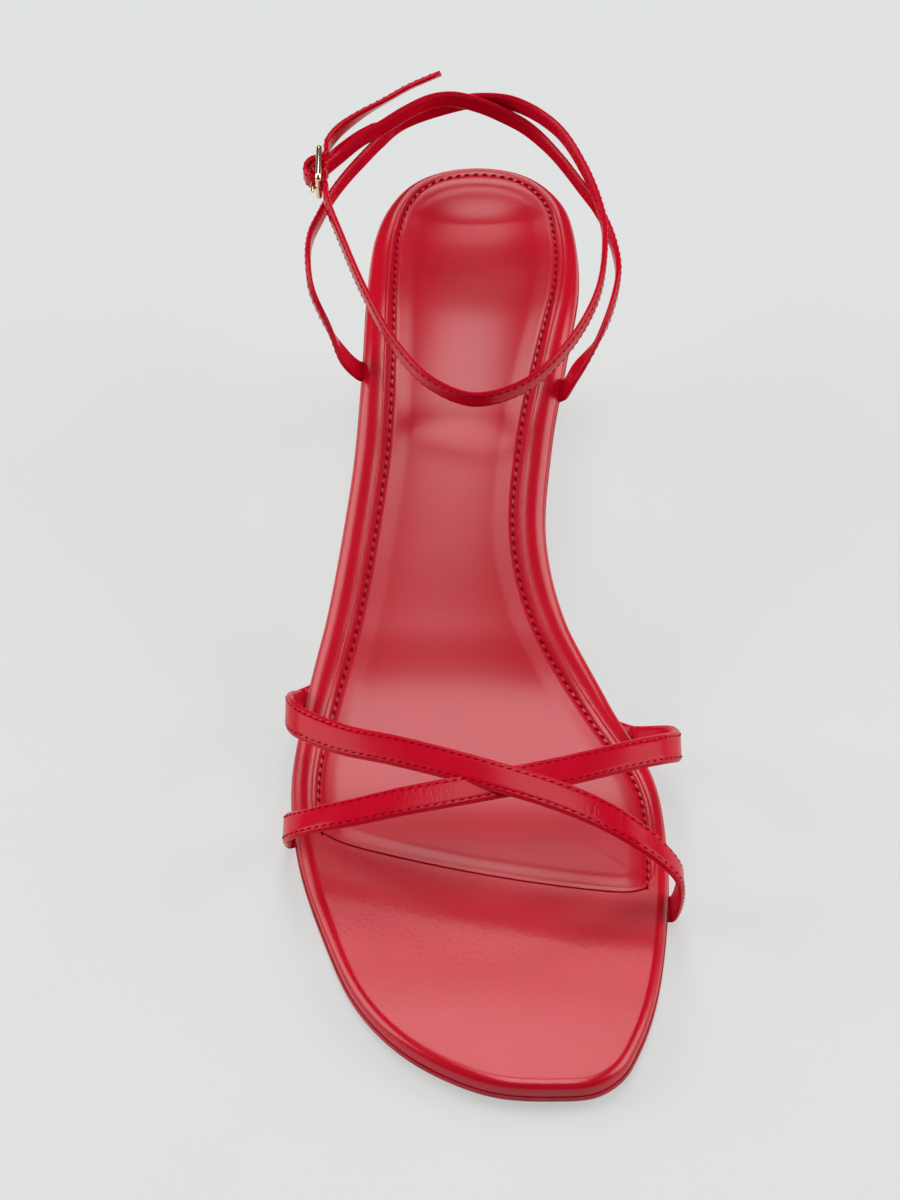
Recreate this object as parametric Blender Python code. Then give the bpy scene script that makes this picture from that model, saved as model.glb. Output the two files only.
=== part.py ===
"""Strappy heeled sandal, right shoe: toe along -Y, heel along +Y, big-toe side along +X, metres.

Everything hangs on one set of last coordinates: x across, s along the footbed from the toe tip, and h out
of the footbed's top face. The pieces are a lipped outsole, a wrapped heel on a top piece, a wrapped footbed,
a padded sock, crossed forefoot straps, ankle straps that cross behind the heel, and a small buckle.
"""
import math

import bmesh
import bpy
import numpy as np

# Driving dimensions, in metres.
GAP = 0.0003                # clearance that touching pieces keep
FOOTBED_LENGTH = 0.2444     # outline length, measured along the footbed's curve
BALL_WIDTH = 0.084          # widest place of the outline
HEEL_RISE = 0.062           # heel end of the footbed above its ball
TOE_SPRING = 0.0033         # toe tip of the footbed above its ball
FOOTBED_THICK = 0.0042
FOOTBED_ROUND_WIDE = 0.0042     # how far in the wrapped edge starts to fall
FOOTBED_ROUND_DEEP = 0.0027     # how far it falls before the wall
FOOTBED_FOLD = 0.0004       # rounding of its lower edge, where the leather is turned under
OUTSOLE_THICK = 0.0018
OUTSOLE_BEVEL = 0.0020      # how far the outsole's lower edge is cut back
OUTSOLE_LIP = 0.0008        # the outsole shows this much beyond the footbed
OUTSOLE_TOP_ROUND = 0.0002  # rounding of the outsole's upper edge
BALL_PRESS = 0.0006         # how deep the ball is pressed flat on the floor
SOCK_THICK = 0.0011
SOCK_INSET = 0.0046         # sock edge in from the outline
SOCK_FRONT_LATERAL = 0.0692     # sock front edge, distance from the toe tip at the little-toe side
SOCK_FRONT_MEDIAL = 0.0508      # the same at the big-toe side
SOCK_FRONT_BOW = 0.0026     # how far the front edge bows to the toe
SOCK_SPREAD = 0.0020        # the sock comes this much nearer the outline at the big-toe side of the ball
SOCK_SPREAD_FROM = 0.125    # station where that begins
SOCK_SPREAD_OVER = 0.050    # length over which it comes
SOCK_SPREAD_SIDE = 0.010    # half the width over which it changes from one side to the other
SOCK_CORNER = 0.0022        # softness of the sock's front corners
HEEL_INSET = 0.0014         # heel seat in from the outline
HEEL_BREAST = 0.0485         # heel breast, forward of the heel's back
HEEL_TIP_THICK = 0.0045
HEEL_TIP_SETBACK = 0.0140   # the tip's back, forward of the seat's back
HEEL_TIP_LENGTH = 0.0118
HEEL_TIP_WIDTH = 0.0125
FORE_STRAP_WIDTH = 0.0068
FORE_STRAP_THICK = 0.0016
FORE_STRAP_RISE = 0.031     # top of the arch of the crossed straps above the footbed
FORE_STRAP_LEAN = math.radians(18)  # their faces lean this much more to the toe on top, as the instep does
FORE_LEAN_FROM = 0.55       # share of the rise where the lean begins; it is whole at the top
ANKLE_STRAP_WIDTH = 0.0053
ANKLE_STRAP_THICK = 0.0013
ANKLE_WIDTH = 0.066         # ankle loop across
ANKLE_SHIFT = 0.003         # its middle lies this far to the little-toe side
ANKLE_LENGTH = 0.0845       # ankle loop front to back
ANKLE_BACK = 0.0056         # back of the loop, forward of the heel's back
ANKLE_RISE = 0.025          # back of the loop above the heel seat
TUCK_DEPTH = 0.011          # length of strap held between footbed and outsole
TUCK_BEND = 0.0025          # radius of a strap's bend from the sole up to the foot
TUCK_START = 0.0005         # the bend starts this far inside the footbed's wall
TUCK_CLEAR = 0.0002         # lift of the held strap end off the footbed's under face
SLOT_ROOM = 0.0004          # play round a strap in its slot
SLOT_REACH = 0.0045         # a slot follows its strap this far out past the footbed's wall
SLOT_OPEN = 0.0016          # how far a strap's slot goes on below the strap, out of the footbed's under face
BUCKLE_WIRE = 0.0014
BUCKLE_BAR = 0.0011         # diameter of the centre bar
BUCKLE_SIDE_ROOM = 0.0005   # play beside the strap inside the buckle
BUCKLE_CORNER = 0.0012
BUCKLE_STRAIGHT = 0.0031    # the strap runs straight this far past each end wire
BUCKLE_CLEAR = 0.0003       # and there it is this much further from the wire
BUCKLE_GAP = 0.00036        # clearance between the strap's layers, the bar and the wires
PRONG_WIRE = 0.0009
PRONG_OVER = 0.0011         # how far the prong's tip passes the front wire
PRONG_BOW = 0.0002          # how much the prong bows between the bar and its tip
TAIL_LENGTH = 0.036         # free end past the buckle
TAIL_TURN = 0.0216          # length over which the free end turns over
TAIL_LEAN = math.radians(45)
FOLD_STEP = 0.0010          # the folded end lies this far out from the strand it is stitched to
SKIVE = 0.0003              # the folded end is thinner and narrower by this

# Outline of the footbed: station as a share of its length from the toe, edges as shares of the ball width.
TOE_TIP = 0.180             # medial place of the toe tip
HEEL_BACK = 0.010           # medial place of the heel's back
OUTLINE_ROWS = [
    # station, lateral, medial
    (0.004, 0.040, 0.290),
    (0.022, -0.085, 0.360),
    (0.053, -0.208, 0.408),
    (0.101, -0.316, 0.454),
    (0.172, -0.401, 0.491),
    (0.260, -0.477, 0.510),
    (0.340, -0.503, 0.486),
    (0.417, -0.469, 0.366),
    (0.498, -0.413, 0.245),
    (0.574, -0.373, 0.197),
    (0.660, -0.338, 0.214),
    (0.751, -0.320, 0.258),
    (0.841, -0.310, 0.299),
    (0.905, -0.292, 0.295),
    (0.946, -0.254, 0.268),
    (0.976, -0.193, 0.206),
    (0.993, -0.110, 0.128),
]
# Side line of the last: lift as a share of the heel rise, spring as a share of the toe spring.
SIDE_ROWS = [
    # station, lift, spring
    (0.00, 0.000, 1.00),
    (0.05, 0.000, 0.66),
    (0.10, 0.000, 0.36),
    (0.17, 0.000, 0.10),
    (0.24, 0.000, 0.00),
    (0.328, 0.024, 0.00),
    (0.407, 0.120, 0.00),
    (0.487, 0.283, 0.00),
    (0.566, 0.452, 0.00),
    (0.646, 0.622, 0.00),
    (0.725, 0.787, 0.00),
    (0.795, 0.881, 0.00),
    (0.874, 0.939, 0.00),
    (1.00, 1.000, 0.00),
]
# Heel between its seat and its tip: drop as a share of the height, the others of the way to the tip.
HEEL_ROWS = [
    # drop, narrowing, shortening
    (0.05, 0.06, 0.06),
    (0.13, 0.26, 0.24),
    (0.24, 0.50, 0.46),
    (0.38, 0.70, 0.66),
    (0.58, 0.86, 0.84),
    (0.80, 0.96, 0.95),
    (1.00, 1.00, 1.00),
]
HEEL_SEAT_SHARES = (0.04, 0.5, 1.0)     # rings of the seat face, as shares of its size
# Forefoot straps: across as a share of half the ball width, station and rise as shares of their own sizes.
STRAP_OVER_ROWS = [
    # across, station, rise
    (-1.005, 0.392, 0.37),
    (-0.950, 0.364, 0.60),
    (-0.720, 0.323, 0.79),
    (-0.400, 0.285, 0.92),
    (0.060, 0.244, 1.00),
    (0.415, 0.221, 0.97),
    (0.665, 0.203, 0.90),
    (0.870, 0.188, 0.76),
    (1.005, 0.182, 0.55),
    (1.040, 0.188, 0.30),
]
STRAP_OVER_ENDS = ((0.418, 0.48), (0.203, 0.32))    # station and slant of the held end, lateral and medial
STRAP_UNDER_ROWS = [
    # across, station, rise
    (-0.995, 0.262, 0.22),
    (-0.985, 0.244, 0.42),
    (-0.925, 0.231, 0.58),
    (-0.800, 0.224, 0.71),
    (-0.640, 0.222, 0.795),
    (-0.400, 0.225, 0.885),
    (0.010, 0.236, 0.955),
    (0.420, 0.257, 0.93),
    (0.790, 0.292, 0.82),
    (0.965, 0.316, 0.70),
    (1.060, 0.341, 0.48),
    (1.025, 0.366, 0.20),
]
STRAP_UNDER_ENDS = ((0.288, 0.52), (0.382, 0.36))
# Ankle strands: across as a share of half the loop's width, forward of its length, lift of its rise.
LATERAL_RISE_ROWS = [
    # across, forward, lift: from the little-toe side of the footbed up and round the back
    (-0.85, 0.686, -0.26),
    (-0.97, 0.662, 0.10),
    (-1.06, 0.613, 0.32),
    (-1.09, 0.534, 0.46),
    (-1.080, 0.445, 0.480),
    (-1.016, 0.360, 0.490),
    (-0.948, 0.290, 0.518),
    (-0.872, 0.232, 0.575),
    (-0.78, 0.172, 0.64),
    (-0.61, 0.100, 0.72),
    (-0.43, 0.050, 0.81),
    (-0.09, 0.012, 0.91),
    (0.12, 0.000, 0.94),
    (0.38, 0.013, 0.93),
    (0.676, 0.103, 0.87),
    (0.876, 0.255, 0.76),
    (0.985, 0.410, 0.65),
    (1.00, 0.489, 0.588),
    (0.936, 0.666, 0.436),
    (0.72, 0.835, 0.296),
    (0.42, 0.956, 0.190),
    (0.073, 1.000, 0.156),
    (-0.227, 0.947, 0.200),
    (-0.476, 0.827, 0.300),
    (-0.68, 0.666, 0.436),
    (-0.86, 0.483, 0.592),
]
TAIL_ROWS = [
    # across, forward, lift: from the buckle to the strap's free tip
    (-0.90, 0.130, 0.90),
    (-0.75, 0.072, 0.94),
    (-0.555, 0.013, 0.98),
    (-0.385, -0.037, 1.01),
    (-0.230, -0.069, 1.04),
]
MEDIAL_RISE_ROWS = [
    # across, forward, lift: from the big-toe side of the footbed up and round the back to the buckle
    (0.80, 0.735, -0.32),
    (0.95, 0.695, -0.04),
    (1.05, 0.620, 0.16),
    (1.10, 0.526, 0.28),
    (1.082, 0.444, 0.34),
    (1.033, 0.370, 0.40),
    (0.952, 0.294, 0.46),
    (0.851, 0.231, 0.52),
    (0.733, 0.154, 0.58),
    (0.597, 0.080, 0.64),
    (0.457, 0.037, 0.72),
    (0.300, 0.018, 0.81),
    (0.170, 0.017, 0.90),
    (0.010, 0.022, 0.99),
    (-0.10, 0.029, 1.03),
    (-0.24, 0.047, 1.04),
    (-0.41, 0.086, 1.01),
    (-0.58, 0.130, 0.95),
    (-0.74, 0.170, 0.90),
]
FOLD_ROWS = [
    # across, forward, lift: places on the medial strand that its folded end lies on
    (-0.74, 0.170, 0.90),
    (-0.64, 0.145, 0.925),
]
BUCKLE_PLACE = (-1.025, 0.267, 0.78)    # across, forward, lift of the buckle's middle
ANKLE_ENDS = ((0.742, 0.0), (0.720, -0.15))     # station and slant of the held end, lateral and medial
LOOP_FRONT_LIFT = 0.156                 # lift of the front of the loop, for its tilt and the buckle's
ANKLE_FREE_FROM = 0.15      # share of the rise where a strand stops lying along the sole
ANKLE_FREE_OVER = 0.40      # share of the rise over which it turns to the loop
BUCKLE_HOLD = 1.5           # within this many strap widths the buckle sets how a strand lies
# The inner strand at the buckle: places beside the bar as shares of the radius at which it wraps the bar.
REACHED_STEP = 0.0017       # it comes in this much deeper than its folded end goes out
REACHED_ROWS = [
    # along, out
    (1.70, -1.90),
    (0.55, -0.95),
    (-0.10, -1.00),
]
FOLD_START = (0.70, -1.10)
FOLD_TURNS = (-90, -130, -180, -230, -270, -300)    # degrees round the bar
# The folded end past the bar, as shares of the way to the rear wire and of the wrap's radius.
FOLD_BACK_ROWS = [
    # along, out
    (0.38, -0.25),
    (0.66, -1.45),
]

# Mesh fineness.
STATIONS = 40
SPINE_END = 0.80            # the middle line ends at this share of the stations
FACE_SHARE = 0.55           # flat faces are first carried this share of the way to the middle line
STRAP_STEP = 0.0060
STRAP_TURN_STEP = math.radians(19)
STRAP_SOFT = 0.24           # a strap's edges are softened by this share of its thickness
DENSE = 600

LEATHER = ("red_leather", (0.52, 0.004, 0.025), 0.30, 0.0)
LINING = ("red_sock_leather", (0.55, 0.012, 0.035), 0.38, 0.0)
SOLE_EDGE = ("red_sole_leather", (0.42, 0.004, 0.020), 0.40, 0.0)
TIP_RUBBER = ("dark_red_top_piece", (0.12, 0.006, 0.012), 0.60, 0.0)
GOLD = ("pale_gold_metal", (0.83, 0.66, 0.40), 0.22, 1.0)


def clear_scene():
    for old in list(bpy.data.objects):
        bpy.data.objects.remove(old, do_unlink=True)
    for old in list(bpy.data.collections):
        bpy.data.collections.remove(old)


def smooth(x, xs, ys, steady=True):
    """Cubic curve through a table; steady keeps it from swinging past rows that stay level."""
    xs, ys = np.asarray(xs, float), np.asarray(ys, float)
    chord = np.diff(ys) / np.diff(xs)
    step = np.diff(xs)
    slope = np.empty(len(xs))
    slope[1:-1] = (chord[:-1] * step[1:] + chord[1:] * step[:-1]) / (step[1:] + step[:-1])
    slope[0], slope[-1] = chord[0], chord[-1]
    if steady:
        level = chord[:-1] * chord[1:] <= 0
        slope[1:-1][level] = 0.0
    x = np.clip(x, xs[0], xs[-1])
    i = np.clip(np.searchsorted(xs, x) - 1, 0, len(xs) - 2)
    t = (x - xs[i]) / step[i]
    return (
        (1 + 2 * t) * (1 - t) ** 2 * ys[i] + t * (1 - t) ** 2 * step[i] * slope[i]
        + t * t * (3 - 2 * t) * ys[i + 1] - t * t * (1 - t) * step[i] * slope[i + 1]
    )


def smooth_curve(points, count):
    """Closely spaced points on a smooth curve through the given ones."""
    points = np.asarray(points, float)
    along = np.concatenate([[0], np.cumsum(np.linalg.norm(np.diff(points, axis=0), axis=1) ** 0.5)])
    fine = np.linspace(0, along[-1], count)
    return np.stack([smooth(fine, along, column, steady=False) for column in points.T], axis=1)


def strap_line(points):
    """Stations of a strap: close together where it turns, further apart where it runs straight."""
    curve = smooth_curve(points, DENSE * 5)
    leg = np.diff(curve, axis=0)
    length = np.linalg.norm(leg, axis=1)
    leg = leg / length[:, None]
    turn = np.concatenate([[0], np.arccos(np.clip(np.sum(leg[1:] * leg[:-1], axis=1), -1, 1))])
    run = np.concatenate([[0], np.cumsum(length / STRAP_STEP + turn / STRAP_TURN_STEP)])
    even = np.linspace(0, run[-1], int(run[-1]) + 2)
    return np.stack([np.interp(even, run, column) for column in curve.T], axis=1)


def ease(share):
    share = np.clip(share, 0, 1)
    return share * share * (3 - 2 * share)


class Last:
    """Side line and outline of the last, in the coordinates x, s and h."""

    def __init__(self):
        self.s = np.linspace(0, FOOTBED_LENGTH, DENSE)
        share = self.s / FOOTBED_LENGTH
        stations, lifts, springs = zip(*SIDE_ROWS)
        lift = HEEL_RISE * smooth(share, stations, lifts) + TOE_SPRING * smooth(share, stations, springs)
        rise = np.gradient(lift, self.s)
        run = np.sqrt(1 - rise ** 2)
        y = np.concatenate([[0], np.cumsum((run[1:] + run[:-1]) / 2 * np.diff(self.s))])
        self.y = y - y[-1]
        self.z = lift + FOOTBED_THICK + GAP + OUTSOLE_THICK - BALL_PRESS
        self.slope = np.arctan2(rise, run)
        self.seat = self.z[-1]
        rows = [(TOE_TIP * BALL_WIDTH, 0.0)]
        rows += [(medial * BALL_WIDTH, s * FOOTBED_LENGTH) for s, lateral, medial in OUTLINE_ROWS]
        rows += [(HEEL_BACK * BALL_WIDTH, FOOTBED_LENGTH)]
        rows += [(lateral * BALL_WIDTH, s * FOOTBED_LENGTH) for s, lateral, medial in reversed(OUTLINE_ROWS)]
        curve = smooth_curve(rows[-4:] + rows + rows[:5], DENSE * 4)
        tip = int(np.argmin(np.where(np.arange(len(curve)) < len(curve) // 2, curve[:, 1], 1.0)))
        back = int(np.argmax(curve[:, 1]))
        end = tip + int(np.argmin(np.linalg.norm(curve[back:] - curve[tip], axis=1))) + back - tip
        self.medial_side = curve[tip:back + 1]
        self.lateral_side = curve[back:end + 1][::-1]

    def edge(self, s, side):
        """Place across of the outline at s: side 1 is medial, -1 lateral."""
        line = self.medial_side if side > 0 else self.lateral_side
        return np.interp(s, line[:, 1], line[:, 0])

    def point(self, x, s, h):
        """World place of last coordinates."""
        x, s, h = np.broadcast_arrays(np.asarray(x, float), s, h)
        angle = np.interp(s, self.s, self.slope)
        y = np.interp(s, self.s, self.y) - h * np.sin(angle)
        z = np.interp(s, self.s, self.z) + h * np.cos(angle)
        return np.stack([x, y, z], axis=-1)

    def measure(self, point):
        """Station of a world point, found square to the footbed, and its height over it."""
        s = np.interp(point[1], self.y, self.s)
        for _ in range(6):
            angle = np.interp(s, self.s, self.slope)
            base = self.point(0.0, s, 0.0)
            s += (point[1] - base[1]) * math.cos(angle) + (point[2] - base[2]) * math.sin(angle)
        return s, (point[2] - base[2]) * math.cos(angle) - (point[1] - base[1]) * math.sin(angle)

    def ring(self, inset=0.0):
        """Closed outline: toe tip, medial side, heel back, lateral side; paired points share a station."""
        low, high = self.medial_side[0, 1], self.medial_side[-1, 1]
        share = (1 - np.cos(np.pi * np.arange(STATIONS + 1) / STATIONS)) / 2
        s = low + (high - low) * share
        x = np.concatenate([self.edge(s, 1), self.edge(s, -1)[-2:0:-1]])
        s = np.concatenate([s, s[-2:0:-1]])
        x[0], x[STATIONS] = self.medial_side[0, 0], self.medial_side[-1, 0]
        return offset_ring(x, s, inset)

    def spine(self, first):
        """Middle line that the rings close on, clear of the ends; it starts at a share of the stations."""
        x, s = self.ring()
        k = np.arange(STATIONS + 1)
        middle = (x[k] + x[-k % (2 * STATIONS)]) / 2
        k = np.clip(k, int(STATIONS * first), int(STATIONS * SPINE_END))
        return middle[k], s[k]


def offset_ring(x, s, inset):
    """Moves a closed ring inward by inset."""
    dx, ds = np.roll(x, -1) - np.roll(x, 1), np.roll(s, -1) - np.roll(s, 1)
    size = np.hypot(dx, ds)
    return x - inset * ds / size, s + inset * dx / size


def mesh_object(name, vertices, faces, material, collection):
    mesh = bpy.data.meshes.new(name)
    mesh.from_pydata([tuple(v) for v in vertices], [], faces)
    bm = bmesh.new()
    bm.from_mesh(mesh)
    bmesh.ops.remove_doubles(bm, verts=bm.verts, dist=1e-7)
    bmesh.ops.recalc_face_normals(bm, faces=bm.faces)
    bm.to_mesh(mesh)
    bm.free()
    mesh.shade_smooth()
    mesh.set_sharp_from_angle(angle=math.radians(35))
    piece = bpy.data.objects.new(name, mesh)
    collection.objects.link(piece)
    if material:
        piece.data.materials.append(material)
    return piece


def loft(rings):
    """Vertices and faces of closed rings joined in order, with both end faces."""
    count = len(rings[0])
    vertices = [v for ring in rings for v in ring]
    faces = [list(range(count))[::-1], [(len(rings) - 1) * count + i for i in range(count)]]
    for r in range(len(rings) - 1):
        for i in range(count):
            j = (i + 1) % count
            faces.append((r * count + i, r * count + j, (r + 1) * count + j, (r + 1) * count + i))
    return vertices, faces


def plate(name, last, layers, ring_of, material, collection, first=0.22):
    """Closed plate on the last, from its under face to its top face.

    Layers hold inset, share of the way to the middle line, and height over the footbed's top.
    """
    spine_x, spine_s = last.spine(first)
    count = 2 * STATIONS
    pair = [i if i <= STATIONS else count - i for i in range(count)]
    vertices, faces = [], []

    def place(x, s, h):
        points = last.point(x, s, h)
        points[..., 2] = np.maximum(points[..., 2], 0.0)
        return points

    for inset, inward, height in layers:
        x, s = ring_of(inset)
        x = x + inward * (spine_x[pair] - x)
        s = s + inward * (spine_s[pair] - s)
        vertices += list(place(x, s, height))
    for r in range(len(layers) - 1):
        for i in range(count):
            j = (i + 1) % count
            faces.append((r * count + i, r * count + j, (r + 1) * count + j, (r + 1) * count + i))
    for r, height in ((0, layers[0][2]), (len(layers) - 1, layers[-1][2])):
        start = len(vertices)
        vertices += list(place(spine_x, spine_s, height))
        for i in range(count):
            j = (i + 1) % count
            a, b = spine_index(spine_s, pair[i]), spine_index(spine_s, pair[j])
            if a == b:
                faces.append((r * count + i, r * count + j, start + a))
            else:
                faces.append((r * count + i, r * count + j, start + b, start + a))
    used = sorted({v for face in faces for v in face})
    renumber = {old: new for new, old in enumerate(used)}
    faces = [tuple(renumber[v] for v in face) for face in faces]
    return mesh_object(name, [vertices[v] for v in used], faces, material, collection)


def spine_index(spine_s, k):
    """First place on the spine with the same station as place k."""
    return int(np.argmin(np.abs(spine_s - spine_s[k])))


def round_edge(inset, wide, top, deep, steps):
    """Layers of a rounded upper edge, from the wall at inset up to the top face."""
    turns = [math.pi / 2 * k / steps for k in range(steps + 1)]
    return [(inset + wide * (1 - math.cos(a)), 0.0, top - deep * (1 - math.sin(a))) for a in turns]


def band(name, points, across_of, width, thick, material, collection, grow=0.0, tip=False):
    """Flat strap with softened edges along a smooth path; across_of(line, heading) is its width direction.

    With grow it is the slot of a strap's held end: larger all round, open below, and ended past the wall.
    """
    line = strap_line(points)
    narrow = np.ones(len(line))
    if tip:
        run = line[-1] - line[-2]
        run /= np.linalg.norm(run)
        turns = [math.radians(degrees) for degrees in (25, 50, 70, 84)]
        line = np.vstack([line] + [line[-1] + run * math.sin(a) * width / 2 for a in turns])
        narrow = np.concatenate([narrow, [math.cos(a) for a in turns]])
    heading = np.gradient(line, axis=0)
    heading /= np.linalg.norm(heading, axis=1, keepdims=True)
    across = across_of(line, heading)
    out = np.cross(across, heading)
    if grow:
        line[0] -= heading[0] * grow
        line[-1] += heading[-1] * grow
    w, t, c = width / 2 + grow, thick / 2 + grow, thick * STRAP_SOFT
    o = t + (SLOT_OPEN if grow else 0.0)
    section = [(w, o - c), (w - c, o), (c - w, o), (-w, o - c)]
    section += [(-w, c - t), (c - w, -t), (w - c, -t), (w, c - t)]
    rings = [[p + across[i] * a * narrow[i] + out[i] * b for a, b in section] for i, p in enumerate(line)]
    if grow:
        run = np.concatenate([[0], np.cumsum(np.linalg.norm(np.diff(line, axis=0), axis=1))])
        rings = rings[:int(np.searchsorted(run, TUCK_DEPTH + SLOT_REACH)) + 1]
    return mesh_object(name, *loft(rings), material, collection)


def square_to(heading, across):
    """Width directions made square to the strap's heading."""
    across = across - heading * np.sum(across * heading, axis=1, keepdims=True)
    return across / np.linalg.norm(across, axis=1, keepdims=True)


def along_sole(last, lean=0.0):
    """Width direction of a strap that crosses the footbed: along it, face out, leaning to the toe on top."""
    def across_of(line, heading):
        places = np.array([last.measure(p) for p in line])
        on_top = ease((places[:, 1] / FORE_STRAP_RISE - FORE_LEAN_FROM) / (1 - FORE_LEAN_FROM))
        angle = np.interp(places[:, 0], last.s, last.slope) + lean * on_top
        run = np.stack([np.zeros(len(line)), np.cos(angle), np.sin(angle)], axis=1)
        return square_to(heading, math.copysign(1, line[0, 0]) * run)
    return across_of


def round_ankle(last, buckle, turned=0, tail=0.0):
    """Width direction of an ankle strand: along the footbed where it is held, then square to the tilted loop.

    The strands start on opposite sides, so their widths point up or down; turned says which for a loose end.
    Over the length called tail, the free end lies over with its upper edge to the toe.
    """
    beside_sole = along_sole(last)
    axis = np.array([-ANKLE_SHIFT, -ANKLE_BACK - ANKLE_LENGTH / 2, last.seat])

    def across_of(line, heading):
        out = line - axis
        out = out - np.sum(out * buckle.up, axis=1, keepdims=True) * buckle.up
        upper = square_to(heading, np.cross(heading, out))
        height = np.array([last.measure(p)[1] for p in line]) / ANKLE_RISE
        free = ease((height - ANKLE_FREE_FROM) / ANKLE_FREE_OVER)[:, None]
        across = beside_sole(line, heading) * (1 - free) + upper * free
        reach = np.linalg.norm(line - buckle.centre, axis=1) / ANKLE_STRAP_WIDTH
        held = 1 - ease(reach / BUCKLE_HOLD - 1)[:, None]
        up = turned or -math.copysign(1, line[0, 0])
        if turned:
            across = turned * buckle.up
        if tail:
            legs = np.linalg.norm(np.diff(line, axis=0), axis=1)
            left = np.concatenate([np.cumsum(legs[::-1])[::-1], [0]])
            over = ease((tail - left) / TAIL_TURN)[:, None]
            lying = np.array([0.0, -math.sin(TAIL_LEAN), math.cos(TAIL_LEAN)])
            across = across * (1 - over) + lying * over
        return square_to(heading, across * (1 - held) + up * buckle.up * held)
    return across_of


def tuck_points(last, station, slant, side, thick):
    """Held end of a strap: between footbed and outsole, out past the wall, then up; innermost first.

    Slant is how far the strap moves to the toe for each unit of its own length, so that it runs on unbent.
    """
    flat = -FOOTBED_THICK + thick / 2 + TUCK_CLEAR
    s = station * FOOTBED_LENGTH
    wall = last.edge(s, side) - side * OUTSOLE_LIP
    rows = [(-TUCK_DEPTH, flat, -TUCK_DEPTH), (-TUCK_DEPTH / 2, flat, -TUCK_DEPTH / 2)]
    for degrees in (0, 20, 40, 60):
        turn = math.radians(degrees)
        height = flat + TUCK_BEND * (1 - math.cos(turn))
        rows.append((TUCK_BEND * math.sin(turn) - TUCK_START, height, TUCK_BEND * turn - TUCK_START))
    return [last.point(wall + side * out, s - slant * length, height) for out, height, length in rows]


def ankle_point(last, across, forward, lift):
    return np.array([
        -ANKLE_SHIFT + across * ANKLE_WIDTH / 2,
        -ANKLE_BACK - forward * ANKLE_LENGTH,
        last.seat + lift * ANKLE_RISE,
    ])


class BuckleFrame:
    """Axes of the buckle: along the strap to the rear, up, and out to the little-toe side."""

    def __init__(self, last):
        self.centre = ankle_point(last, *BUCKLE_PLACE)
        tilt = math.atan2((1 - LOOP_FRONT_LIFT) * ANKLE_RISE, ANKLE_LENGTH)
        self.along = np.array([0.0, math.cos(tilt), math.sin(tilt)])
        self.up = np.array([0.0, -math.sin(tilt), math.cos(tilt)])
        self.out = np.array([-1.0, 0.0, 0.0])
        bar, strap = BUCKLE_BAR / 2, ANKLE_STRAP_THICK
        self.eye = bar + BUCKLE_GAP + strap / 2             # middle of the strap that wraps the bar
        self.over = self.eye + strap + BUCKLE_GAP           # middle of the strap that passes over that
        self.under = BUCKLE_WIRE / 2 + BUCKLE_GAP + strap / 2   # how far inside the end wires it passes
        self.side = self.over + self.under                  # middle of the frame's end wires
        self.half_height = ANKLE_STRAP_WIDTH / 2 + BUCKLE_SIDE_ROOM + BUCKLE_WIRE / 2

    def at(self, along, out, up=0.0):
        return self.centre + along * self.along + out * self.out + up * self.up

    def threaded(self):
        """Strap from the front: under the front wire, out over the bar, in under the rear wire."""
        points = [self.at(-self.side - BUCKLE_STRAIGHT, -self.under - BUCKLE_CLEAR)]
        for degrees in (90, 45, 0):
            turn = math.radians(degrees)
            points.append(self.at(-self.side + self.under * math.cos(turn), -self.under * math.sin(turn)))
        for degrees in (150, 120, 90, 60, 30):
            turn = math.radians(degrees)
            points.append(self.at(self.over * math.cos(turn), self.over * math.sin(turn)))
        for degrees in (0, 45, 90):
            turn = math.radians(degrees)
            points.append(self.at(self.side - self.under * math.cos(turn), -self.under * math.sin(turn)))
        points.append(self.at(self.side + BUCKLE_STRAIGHT, -self.under - BUCKLE_CLEAR))
        return points

    def reached(self):
        """End of the other strand: in under the rear wire as far as the bar."""
        points = [self.at(self.side, -self.under - ANKLE_STRAP_THICK - GAP - REACHED_STEP)]
        return points + [self.at(along * self.eye, out * self.eye) for along, out in REACHED_ROWS]

    def folded(self):
        """The same strand's skived end: round the bar and back out under the rear wire."""
        along, out = FOLD_START
        points = [self.at(along * self.eye, out * self.eye)]
        for degrees in FOLD_TURNS:
            turn = math.radians(degrees)
            points.append(self.at(self.eye * math.cos(turn), self.eye * math.sin(turn)))
        for along, out in FOLD_BACK_ROWS:
            points.append(self.at(self.side * along, self.eye * out))
        points.append(self.at(self.side, -self.under - ANKLE_STRAP_THICK - GAP))
        return points


def wire(name, points, diameter, cyclic, material, collection):
    """Round wire as a mesh with welded ends."""
    curve = bpy.data.curves.new(name, "CURVE")
    curve.dimensions = "3D"
    curve.bevel_depth = diameter / 2
    curve.bevel_resolution = 2
    curve.use_fill_caps = not cyclic
    line = curve.splines.new("POLY")
    line.points.add(len(points) - 1)
    for place, point in zip(line.points, points):
        place.co = (*point, 1.0)
    line.use_cyclic_u = cyclic
    holder = bpy.data.objects.new(name + "_line", curve)
    collection.objects.link(holder)
    depsgraph = bpy.context.evaluated_depsgraph_get()
    mesh = bpy.data.meshes.new_from_object(holder.evaluated_get(depsgraph))
    bpy.data.objects.remove(holder, do_unlink=True)
    bm = bmesh.new()
    bm.from_mesh(mesh)
    bmesh.ops.remove_doubles(bm, verts=bm.verts, dist=1e-6)
    bmesh.ops.recalc_face_normals(bm, faces=bm.faces)
    bm.to_mesh(mesh)
    bm.free()
    mesh.materials.clear()
    mesh.shade_smooth()
    piece = bpy.data.objects.new(name, mesh)
    collection.objects.link(piece)
    if material:
        mesh.materials.append(material)
    return piece


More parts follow.
